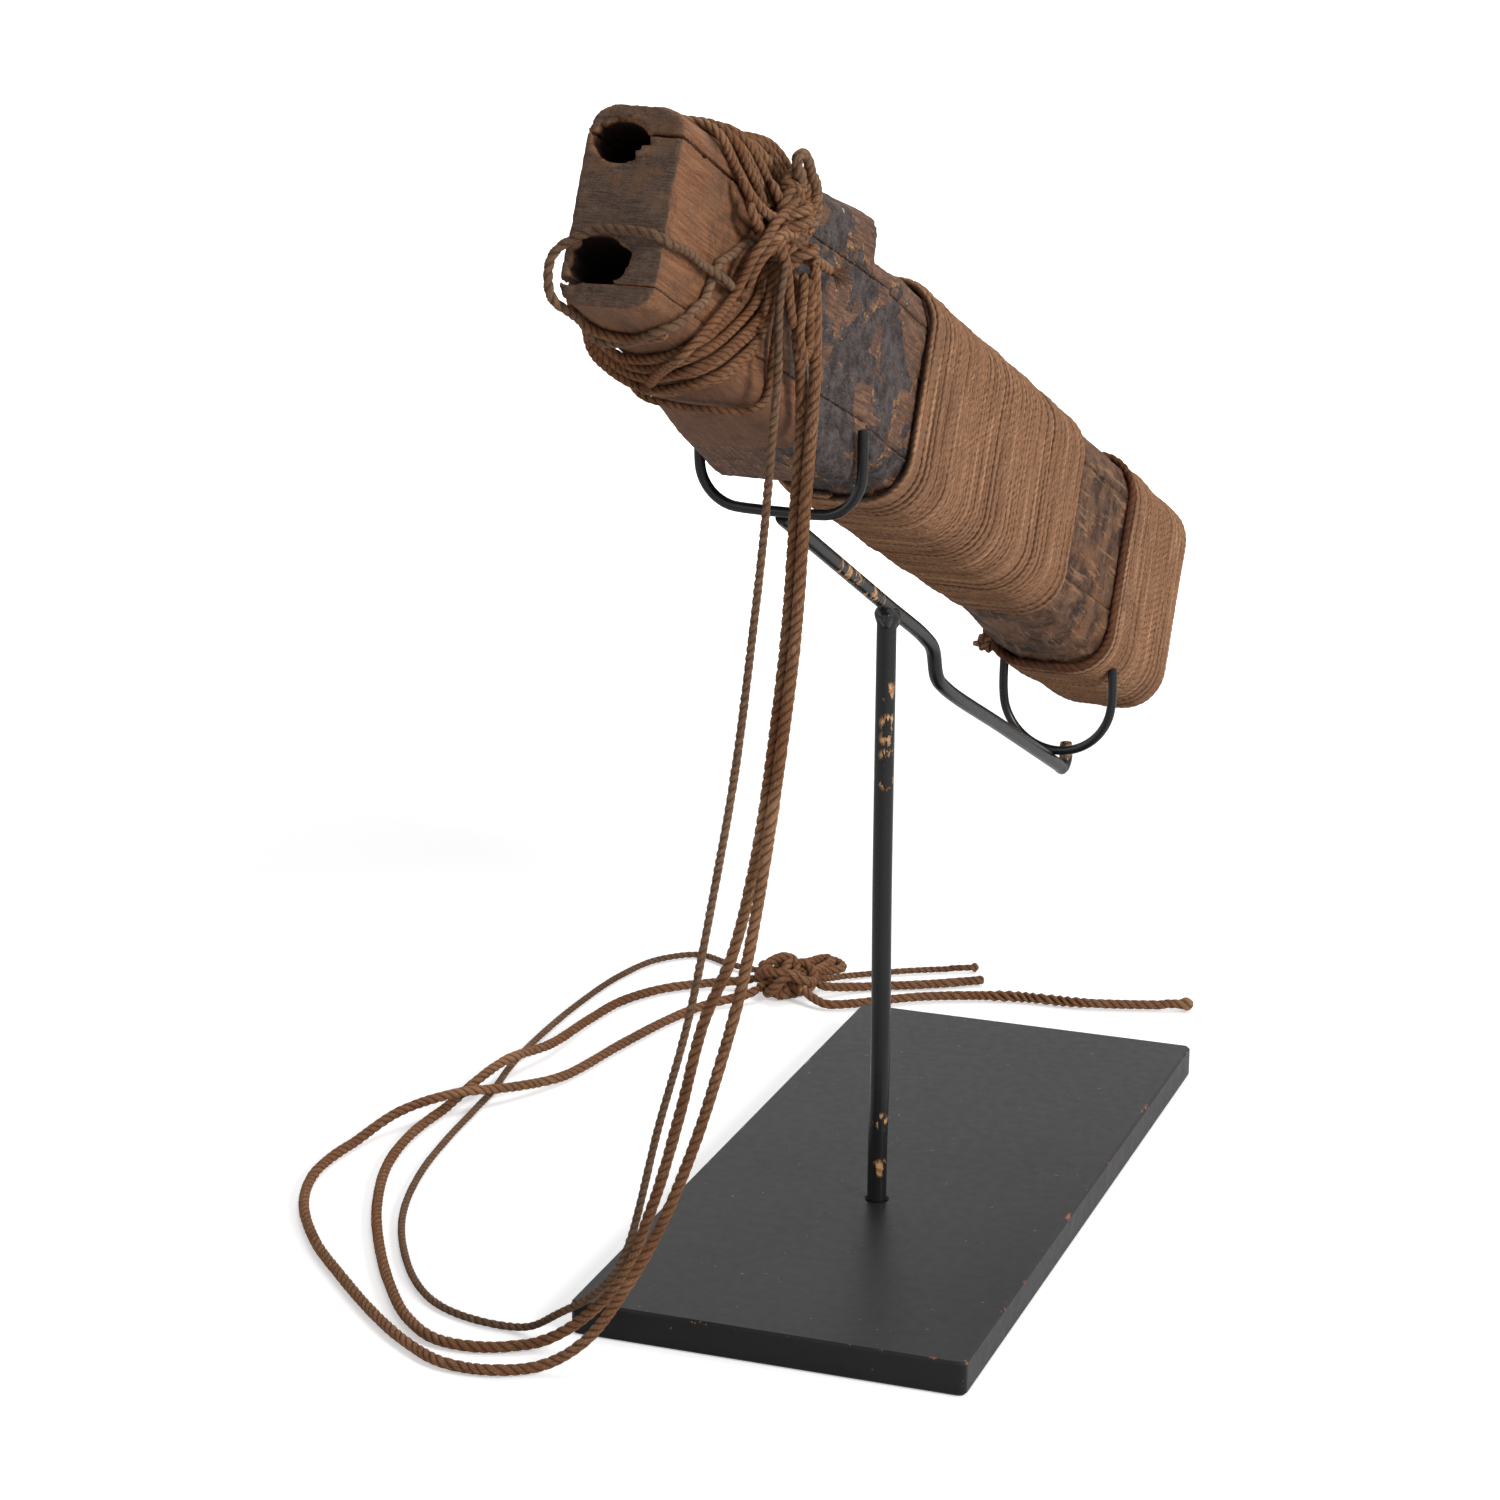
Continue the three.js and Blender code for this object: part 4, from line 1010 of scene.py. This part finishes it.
def wound_run(start, end, turns, lift, seed):
    """The line of one winding: turn after turn laid side by side in pairs, a little uneven."""
    generator = np.random.default_rng(seed)
    high = generator.uniform(0, 0.5, turns + 2)
    group = 0.0
    for k in range(turns + 2):
        if generator.random() < 0.28:
            group = generator.uniform(-0.1, 0.75)
        high[k] += max(group, 0) * 0.75
    along = generator.uniform(-0.12, 0.12, turns + 2)
    pitch = (end - start) / turns
    pair = 0.11 * pitch
    points, higher = [], []
    for i in range(turns * TURN_STEPS + 1):
        k, share = divmod(i / TURN_STEPS, 1.0)
        k = int(k)
        ease = min(max((share - 0.55) / 0.3, 0), 1)
        ease = ease * ease * (3 - 2 * ease)
        here = along[k] + (pair if k % 2 else -pair)
        there = along[k + 1] + (-pair if k % 2 else pair)
        y = start + pitch * i / TURN_STEPS + here + (there - here) * ease
        y += 0.45 * noise.noise(Vector((share * 3.0, k * 0.13, seed + 20.0)))
        rise = lift + high[k] + (high[k + 1] - high[k]) * ease
        rise += 0.3 * noise.noise(Vector((share * 4.0, k * 0.21, seed)))
        points.append(skin_point(y, share + 0.5, rise))
        higher.append(skin_point(y, share + 0.5, rise + 1))
    line, above = to_world(points), to_world(higher)
    return np.hstack([line, (above - line) / MM])


def make_binding(node, run, cord, step, seed):
    mesh = twisted_mesh(node + "_turns", [run], cord, 5, step, 0.17, seed=seed)
    add_piece(node + "_turns", mesh, "whistle", cord_binding, [node])


def make_bindings():
    third = (MAIN_TO - MAIN_FROM) / 3
    for k, place in enumerate(("front", "middle", "rear")):
        start = MAIN_FROM + k * third + 1.2
        run = wound_run(start, start + third - 0.2, MAIN_TURNS, 1.15, 11 + k)
        make_binding(f"main_binding_{place}", run, MAIN_BINDING_CORD, 0.56 * MM, k)
    tail_parts = {"front": (397.2, 424.6, 13, 1.5), "rear": (426.4, 465.6, 18, 1.0)}
    for k, (place, (start, end, turns, lift)) in enumerate(tail_parts.items()):
        run = wound_run(start, end, turns, lift, 31 + k)
        make_binding(f"tail_binding_{place}", run, TAIL_BINDING_CORD, 0.6 * MM, k + 7)


RING_FROM = 391.4
RING_TURNS = 2
RING_PITCH = 1.4
RING_STEPS = 72
RING_KNOT_TURN = 0.6


def make_tail_ring():
    points = []
    for i in range(RING_TURNS * RING_STEPS + 1):
        turn = i / RING_STEPS
        y = RING_FROM + RING_PITCH * turn + 0.3 * noise.noise(Vector((turn * 5, 1, 2)))
        points.append(skin_point(y, turn + RING_KNOT_TURN, 1.3 + 0.25 * math.sin(turn * 9)))
    mesh = twisted_mesh("tail_ring_turns", [to_world(points)], RING_CORD, seed=3)
    add_piece("tail_ring_turns", mesh, "whistle", cord_rust, ["tail_ring_cord"])
    x, y, z = skin_point(392.5, RING_KNOT_TURN, 3.4)
    runs = knot_runs((x, y, z), (3.5, 3.2, 3.5), 2.3, whistle_place, (0.4,))
    end = [(x, y, z), (x - 1.2, y - 2.2, z - 0.8), (x - 2.4, y - 4.4, z - 1.2)]
    runs.append(to_world(flowing(end, 8)))
    mesh = twisted_mesh("tail_ring_knot_strands", runs, RING_KNOT_CORD, seed=4)
    add_piece("tail_ring_knot_strands", mesh, "whistle", cord_binding, ["tail_ring_knot"])


make_bindings()
make_tail_ring()

# Head lashing: the lines of its strands on the whistle, in millimetres
UNDER = (
    [(20, 57, 11), (17.5, 56, 7), (16.5, 53, 2), (16, 51, -2), (16, 49, -7), (15.5, 45, -12),
     (15.5, 39.5, -18), (15, 33, -24), (12, 28.5, -28.5), (6, 30.5, -30.5), (-3, 34.5, -31),
     (-8.5, 33, -31), (-12.5, 26.5, -28.5), (-15, 20, -23), (-15.5, 18, -12), (-15.5, 18, 6), (-15, 19, 20),
     (-11.5, 20.5, 28)],
    [(20, 59, 9), (18, 58.5, 5), (17, 58, 1), (17, 57.5, -4), (17, 54.5, -9), (16, 48.5, -16),
     (15.5, 41.5, -22), (13.5, 35, -27.5), (7.5, 34.5, -31), (2.5, 37, -31.5), (-4, 40.5, -32),
     (-10.5, 39, -31), (-13.5, 31.5, -28.5), (-15.5, 23, -23), (-15.5, 20, -10), (-15.5, 20, 8),
     (-15, 22, 21), (-11.5, 24, 29)],
    [(20.5, 60.5, 8), (18, 60, 1), (18, 62, -5), (17.5, 61, -11), (17, 56, -16.5), (16, 49.5, -22),
     (14, 43.5, -28), (9.5, 41.5, -31.5), (5, 43, -32), (1, 44.5, -32.5), (-3, 45.5, -33), (-7, 45.5, -33),
     (-13, 38, -31), (-15.5, 27, -26.5), (-16, 23, -12), (-15.5, 24, 8), (-15, 27, 21.5),
     (-11.5, 29.5, 29.5)],
    [(21.5, 62, 6), (19, 62.5, -1), (18, 62, -8), (17.5, 61, -14), (17.5, 58.5, -19.5), (16.5, 53.5, -25.5),
     (13.5, 49.5, -30.5), (7, 50, -33), (2.5, 51.5, -34), (-1.5, 53.5, -34.5), (-5.5, 54, -34.5),
     (-9.5, 53, -34.5), (-14.5, 43, -33), (-16, 30, -29), (-16, 26, -14), (-16, 30, 8), (-15.5, 34, 22),
     (-11.5, 36, 30.5)],
)
OVER = (
    [(-6, 21, 31), (2, 21.5, 31), (9, 21.5, 30.5), (13.5, 22, 28), (15, 30, 23.5), (15.5, 44, 18),
     (16.5, 52, 12), (18.5, 54, 8)],
    [(-6, 25, 31), (3, 27, 31.5), (11, 30, 31), (14, 35.5, 29), (15.5, 42, 25.5), (16, 48, 22.5),
     (17, 53, 19), (19, 57, 14)],
    [(-6, 30, 31.5), (4, 32, 32), (11, 35, 32), (14, 41, 30.5), (15.5, 46, 28), (16.5, 51, 25),
     (17.5, 56, 22), (20, 59, 17)],
    [(-6, 38, 33), (4, 41, 34), (11, 48, 35), (13, 55, 35), (15.5, 60.5, 31.5), (18, 61.5, 27.5),
     (19.5, 61, 22), (21.5, 60, 17)],
    [(-6, 46, 33.5), (4, 50, 35), (11.5, 55, 36), (13.5, 62, 35.5), (17, 64.5, 31), (19, 65.5, 26.5),
     (21, 64, 21), (23, 61, 16)],
)
LAST_STRAND = [
    (22.5, 61, 22), (21, 56.5, 16), (19.5, 52.5, 10), (18.5, 48, 4), (17.5, 45.5, -2), (17, 43.5, -7),
    (17, 38, -13.5), (17, 30.5, -21), (15, 26.5, -27.5), (11, 27, -32), (3, 34.5, -34), (-3.5, 43, -35.5),
]
SHOULDER_TURN = [
    (22, 64, 4), (20, 66, -8), (19, 69, -20), (18.5, 71.5, -28.5), (17.5, 70.5, -32), (14, 67, -35),
    (8.5, 64, -36), (-0.5, 64, -36), (-6.5, 61, -36), (-12.5, 60.5, -35), (-16, 60, -32.5), (-18, 58, -24),
    (-18, 56, -6), (-18, 55, 12), (-17.5, 55, 24), (-13, 55, 32), (-4, 54, 33.5), (6, 54, 34),
    (13.5, 56, 33), (18, 58, 27), (20.5, 59, 20),
]
INNER_STRAND = [
    (-15.5, 16, -10), (-15, 11, -18), (-14, 10.5, -24), (-11.5, 13, -27.5), (-8, 17, -29), (-2, 19, -29.5),
    (5, 19, -29), (11, 18, -28),
]
MOUTH_LOOP = [
    (16, 42.5, -8), (17, 37, -8), (17.5, 32, -8), (16, 26.5, -7.5), (15.5, 21, -7.5), (15.5, 14, -7),
    (15.5, 7, -7.5), (15, 1, -8), (13.5, -2, -7.5), (11, -3, -7), (6.5, -3, -6.5), (2.5, -3, -6.5),
    (-1.5, -3, -6.5), (-6, -3, -7.5), (-9, -3, -9), (-13.5, -3, -12), (-15.5, -3, -15), (-16, -2.5, -18.5),
    (-15.5, -2.5, -21), (-15, -1.5, -24), (-14, 1, -26), (-13, 4, -26.5), (-12, 11, -27), (-12, 17.5, -28),
    (-11, 21.5, -29.5), (-8.5, 23, -30), (-5.5, 22.5, -30), (-0.5, 20.5, -30), (4.5, 17, -29.5),
    (10.5, 14, -28), (13, 15, -26.5), (15, 19, -22.5), (15.5, 22, -19), (15.5, 26.5, -16), (15, 29, -12),
    (15, 30.5, -8), (15, 33, -3.5), (15, 38.5, 0), (15.5, 46.5, 6), (17.5, 52, 9.5), (20, 55, 12),
]
KNOT_LOOP = [
    (23, 53, 18), (24, 54.5, 22), (24, 56, 26.5), (24, 52.5, 28.5), (24, 50.5, 31.5), (24, 54, 34),
    (24, 58.5, 33), (24, 62.5, 30), (24.5, 66, 27.5), (25.5, 66, 23), (26, 64.5, 18.5), (25.5, 59.5, 13),
    (24, 56, 10),
]
KNOT_LINES = (
    [(23.5, 58.5, 23.5), (24, 51.5, 18), (23.5, 45.5, 12), (22.5, 42.5, 6), (20.5, 41, 0.5),
     (18.5, 41.5, -5), (17, 41, -10.5)],
    [(23, 64, 23.5), (23.5, 56.5, 17.5), (23.5, 51, 11.5), (22, 48, 6), (19.5, 47.5, 0.5), (17.5, 48, -5.5)],
    [(21, 69, 33.5), (24, 67, 29), (25, 64.5, 23), (25, 62, 17.5), (23.5, 60, 12.5), (22, 58.5, 9.5)],
    [(18.5, 48, 24.5), (20.5, 49.5, 21), (22, 53, 18), (22.5, 56.5, 14.5), (22.5, 57.5, 10.5),
     (21.5, 57, 7.5)],
    [(18, 39.5, 17), (19.5, 36.5, 13), (20, 40, 10.5), (20, 45.5, 9), (20.5, 49, 7.5), (21, 52.5, 5)],
    [(21.5, 60.5, 14.5), (24.5, 62.5, 10.5), (25.5, 67.5, 9), (26, 72, 6.5), (27, 70, 0), (28.5, 67, -9)],
    [(21.5, 53.5, 9.5), (23, 55, 6.5), (24, 57.5, 2), (25.5, 58.5, -5), (28, 58.5, -13)],
    [(17.5, 31, 19.5), (19.5, 35.5, 16), (21, 41.5, 14), (22, 48, 14), (22.5, 53.5, 17), (23, 58.5, 21)],
    [(21, 48.5, 6.5), (23, 48, 8.5), (24, 52.5, 11.5), (24.5, 59.5, 12), (23.5, 66, 11)],
    [(26, 64, 4), (27, 64, -3), (28.5, 62, -10), (29.5, 61, -15), (30, 64, -18.5), (29.5, 68, -17),
     (28.5, 69.5, -12), (27.5, 68, -4), (27, 66, 3)],
    [(23, 62, 14), (24.5, 68, 10.5), (25.5, 76, 10), (25, 84.5, 10.5)],
    [(19.5, 60, 27), (23, 63, 22), (25, 60, 16), (23, 55, 11), (20, 52, 6)],
    [(20, 66, 24), (23.5, 68, 20), (25, 63, 14), (24, 58, 9), (22, 60, 3)],
)


def line_on_whistle(points, fine=8):
    return to_world(flowing(points, fine))


def between_strands(first, second, out):
    """A line midway between two strands, lying on both."""
    middle = (np.array(first, float) + np.array(second, float)) / 2
    away = middle * (1, 0, 1)
    return [tuple(p) for p in middle + out * away / np.linalg.norm(away, axis=1)[:, None]]


def waist(centre, axis, radius, turns, pitch):
    """Turns of a strand round the knot's middle."""
    axis = Vector(axis).normalized()
    across = axis.orthogonal().normalized()
    points = []
    for i in range(int(turns * 14) + 1):
        turn = i / 14
        spoke = across.copy()
        spoke.rotate(Matrix.Rotation(2 * math.pi * turn, 3, axis))
        points.append(Vector(centre) + spoke * radius + axis * pitch * (turn - turns / 2))
    return line_on_whistle(points, 4)


def fray(at, toward, count, seed):
    """The loose fibres of an untwisted end, spread in a brush."""
    generator = np.random.default_rng(seed)
    at, toward = Vector(at), Vector(toward)
    runs = []
    for _ in range(count):
        spread = Vector(generator.uniform(-1, 1, 3)) * 0.42 * toward.length
        start = at + Vector(generator.uniform(-0.7, 0.7, 3)) - toward * 0.25
        middle = at + toward * 0.45 + spread * 0.4
        runs.append(line_on_whistle([start, middle, at + toward * generator.uniform(0.75, 1.1) + spread], 5))
    return runs


def lashing_runs():
    """The strands under the neck, each joined to one over its top, and those that lie between them."""
    under = [*UNDER, between_strands(UNDER[1], UNDER[2], 1.3), between_strands(UNDER[2], UNDER[3], 1.3)]
    over = [*OVER, between_strands(OVER[1], OVER[2], 1.4)]
    lines = [low + high for low, high in zip(under, over)]
    for k, out in ((0, 0.9), (2, -0.3), (3, -0.8), (3, 1.2)):
        lines.append(between_strands(OVER[k], OVER[k + 1], out))
    return [line_on_whistle(line) for line in (*lines, LAST_STRAND, INNER_STRAND)]


def main_knot_runs():
    """The lines that show on the knot, the turns round its two waists, and the mass of cord within."""
    runs = [line_on_whistle(line) for line in KNOT_LINES]
    runs.append(waist((22.4, 56, 16.5), (0.1, 0.45, -0.88), 5.4, 2.6, 3.3))
    runs.append(waist((24.3, 62.5, 8.5), (0.1, 0.4, -0.9), 4.3, 1.7, 3.2))
    return runs + knot_runs((22, 59, 17), (5.2, 10, 10), 3.0, whistle_place, (0.0, 2.2, 4.1))


def make_head_lashing():
    shoulder, loop, mouth = ([line_on_whistle(line)] for line in (SHOULDER_TURN, KNOT_LOOP, MOUTH_LOOP))
    bound = ["head_binding", "top_strands"]
    pieces = (
        ("head_lashing_strands", lashing_runs(), LASHING_CORD, 12, cord_brown, bound),
        ("shoulder_turn_strand", shoulder, SHOULDER_CORD, 2, cord_brown, ["shoulder_turn"]),
        ("main_knot_strands", main_knot_runs(), MAIN_KNOT_CORD, 8, cord_brown, ["main_knot"]),
        ("knot_loop_strand", loop, KNOT_LOOP_CORD, 6, cord_grey, ["knot_loop"]),
        ("mouth_loop_strand", mouth, MOUTH_LOOP_CORD, 9, cord_grey, ["mouth_loop"]),
    )
    for name, runs, cord, seed, material, nodes in pieces:
        mesh = twisted_mesh(name, runs, cord, seed=seed)
        add_piece(name, mesh, "whistle", material, nodes)
    loose = fray((-3.4, 43, -35.5), (-3.6, 4.4, -0.6), 22, 4)
    loose += fray((16.2, 42.5, -8.2), (0.8, 4.2, -0.6), 16, 5)
    loose += fray((25.2, 84.5, 10.6), (0.2, 8.5, 0.6), 26, 6)
    mesh = twisted_mesh("frayed_ends", loose, LOOSE_FIBRE, 2, 0.9 * MM, 0.0)
    add_piece("frayed_ends", mesh, "whistle", cord_brown)


make_head_lashing()


# Stand
def rod(name, points, thickness, node, sides=14):
    """A bent rod of a thickness in millimetres, its ends a little rounded."""
    data = bpy.data.curves.new(name + "_line", "CURVE")
    data.dimensions = "3D"
    data.bevel_depth = thickness * MM / 2
    data.bevel_resolution = sides
    data.use_fill_caps = True
    path = even_path(flowing(points, 16), 1.6 * MM)
    spline = data.splines.new("POLY")
    spline.points.add(len(path) - 1)
    for bead, place in zip(spline.points, path):
        bead.co = (*place, 1)
    spline.points[0].radius = spline.points[-1].radius = 0.9
    mesh = bake_shape(put_in_scene(name + "_line", data), name)
    smooth(mesh)
    add_piece(name, mesh, "stand", rod_finish, [node])


def bend(x, y, z, radius, start, end, count):
    """Points of a wire's bend, square to the arm, between two angles in quarter turns."""
    angles = np.linspace(start * math.pi / 2, end * math.pi / 2, count)
    return [(x + radius * math.cos(a), y, z + radius * math.sin(a)) for a in angles]


# The cradles, in millimetres: their clearance to the arm, half widths, bend and heights
SEAT_GAP = 0.3
FRONT_HALF = 25.6
FRONT_BEND = 13
FRONT_HEIGHT = 26
REAR_HALF = 20.5
REAR_HEIGHT = 32.5


def make_arm():
    top, rear = arm_height(JOGGLE_START), arm_height(ARM_REAR)
    arm = [
        on_arm(ARM_FRONT), on_arm(0), on_arm(JOGGLE_START - ARM_ROD),
        (0, JOGGLE_START + 3, top - 0.2 * JOGGLE_DROP), (0, JOGGLE_END - 3, top - 0.8 * JOGGLE_DROP),
        on_arm(JOGGLE_END + ARM_ROD), on_arm(110), on_arm(ARM_REAR - ARM_ROD), on_arm(ARM_REAR),
        (0, ARM_REAR + STUB, rear + 0.3 * STUB_RISE), (0, ARM_REAR + STUB, rear + STUB_RISE),
    ]
    rod("arm_rod", on_stand(arm), ARM_ROD, "arm")


def make_cradles():
    seat = WIRE / 2 + SEAT_GAP
    y = ARM_FRONT - seat * math.cos(SLOPE)
    foot = arm_height(ARM_FRONT) + seat * math.sin(SLOPE) + ARM_ROD / 4
    front = [(-FRONT_HALF, y, foot + FRONT_HEIGHT)]
    front += bend(FRONT_BEND - FRONT_HALF, y, foot + FRONT_BEND, FRONT_BEND, 2, 3, 7)
    front += bend(FRONT_HALF - FRONT_BEND, y, foot + FRONT_BEND, FRONT_BEND, 3, 4, 7)
    front += [(FRONT_HALF, y, foot + FRONT_HEIGHT)]
    rod("front_cradle_wire", on_stand(front), WIRE, "front_cradle")
    foot = arm_height(REAR_SEAT) + (ARM_ROD + WIRE) / 2 / math.cos(REAR_SLOPE) + SEAT_GAP
    rear = [(-REAR_HALF, REAR_SEAT, foot + REAR_HEIGHT)]
    rear += bend(0, REAR_SEAT, foot + REAR_HALF, REAR_HALF, 2, 4, 11)
    rear += [(REAR_HALF, REAR_SEAT, foot + REAR_HEIGHT)]
    rod("rear_cradle_wire", on_stand(rear), WIRE, "rear_cradle")


def make_post():
    """The post, from its foot in the plate to the arm, a hair off straight near its foot."""
    low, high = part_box("post")
    x, y = ((low + high) / 2).xy
    line = [(x, y, low.z), (x, y, 30 * MM), (x + 0.4 * MM, y, 60 * MM), (x, y, 120 * MM)]
    line.append((x, y, high.z + 2 * MM))
    rod("post_rod", line, POST_ROD, "post", 20)


BRAZE_SIZE = Vector((7.2, 11.5, 8.4)) * MM


def make_post_braze():
    """The lump of braze that joins the post's top to the arm."""
    low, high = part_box("post_collar")
    middle = (low + high) / 2 + Vector((0, 0, 3 * MM))
    lean = Matrix.Rotation(SLOPE, 3, "X").inverted()
    shape = bmesh.new()
    bmesh.ops.create_icosphere(shape, subdivisions=5, radius=0.5)
    for vert in shape.verts:
        lump = 1 + 0.5 * vert.co.z + 0.3 * noise.noise(vert.co * 2.6 + Vector((4, 1, 7)))
        vert.co = lean @ (vert.co * BRAZE_SIZE) * lump + middle
    mesh = mesh_of(shape, "post_braze")
    smooth(mesh)
    add_piece("post_braze", mesh, "stand", rod_finish, ["post_collar"])


make_arm()
make_cradles()
make_post()
make_post_braze()
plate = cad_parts["base_plate"]
plate.data.materials.clear()
plate.data.materials.append(plate_finish)

# Stage and light
WHITE = (1, 1, 1, 1)
TABLE_GREY = (0.9, 0.9, 0.9, 1)
WORLD_LEVEL = 0.24
LOOK_AT = Vector((0, -0.05, 0.2))
LAMPS = (
    ("key_light", (1.5, -0.55, 1.0), 0.6, 24.0),
    ("fill_light", (-1.2, -1.0, 0.7), 1.2, 5.0),
    ("top_light", (0.1, 0.4, 1.6), 1.0, 9.0),
)


def make_stage():
    """A table top that keeps its shadows near the object and glows to the background's white further off."""
    shape = bmesh.new()
    bmesh.ops.create_grid(shape, x_segments=1, y_segments=1, size=6)
    bmesh.ops.translate(shape, verts=shape.verts, vec=(0, 0, -0.2 * MM))
    mesh = mesh_of(shape, "table_top")
    floor = put_in_scene("table_top", mesh)
    n = Nodes("table_top_finish")
    n.shader.inputs["Base Color"].default_value = TABLE_GREY
    n.shader.inputs["Roughness"].default_value = 0.9
    n.shader.inputs["Specular IOR Level"].default_value = 0.1
    n.shader.inputs["Emission Color"].default_value = WHITE
    far = n.minus(1.0, n.near(n.texture_point("Object"), (0, 0.1, 0), 0.42))
    glow = n.plus(0.42, n.times(far, 0.8))
    seen = n.tree.nodes.new("ShaderNodeLightPath").outputs["Is Camera Ray"]
    n.put(n.shader.inputs["Emission Strength"], n.times(seen, glow))
    mesh.materials.append(n.material)


def make_world():
    """White to the camera, to gloss and through glass, and a low light on the object."""
    world = bpy.data.worlds.new("studio")
    bpy.context.scene.world = world
    world.use_nodes = True
    tree = world.node_tree
    path = tree.nodes.new("ShaderNodeLightPath")
    seen = path.outputs["Is Camera Ray"]
    for other in ("Is Glossy Ray", "Is Transmission Ray"):
        either = tree.nodes.new("ShaderNodeMath")
        either.operation = "MAXIMUM"
        tree.links.new(seen, either.inputs[0])
        tree.links.new(path.outputs[other], either.inputs[1])
        seen = either.outputs[0]
    level = tree.nodes.new("ShaderNodeMapRange")
    level.inputs["To Min"].default_value = WORLD_LEVEL
    level.inputs["To Max"].default_value = 1.0
    tree.links.new(seen, level.inputs["Value"])
    tree.links.new(level.outputs["Result"], tree.nodes["Background"].inputs["Strength"])
    tree.nodes["Background"].inputs["Color"].default_value = WHITE


def make_lamps():
    for name, place, size, power in LAMPS:
        data = bpy.data.lights.new(name, "AREA")
        data.shape = "DISK"
        data.size = size
        data.energy = power
        lamp = put_in_scene(name, data)
        lamp.location = place
        lamp.rotation_euler = (LOOK_AT - Vector(place)).to_track_quat("-Z", "Y").to_euler()


make_stage()
make_world()
make_lamps()
bpy.context.scene.view_settings.view_transform = "Standard"
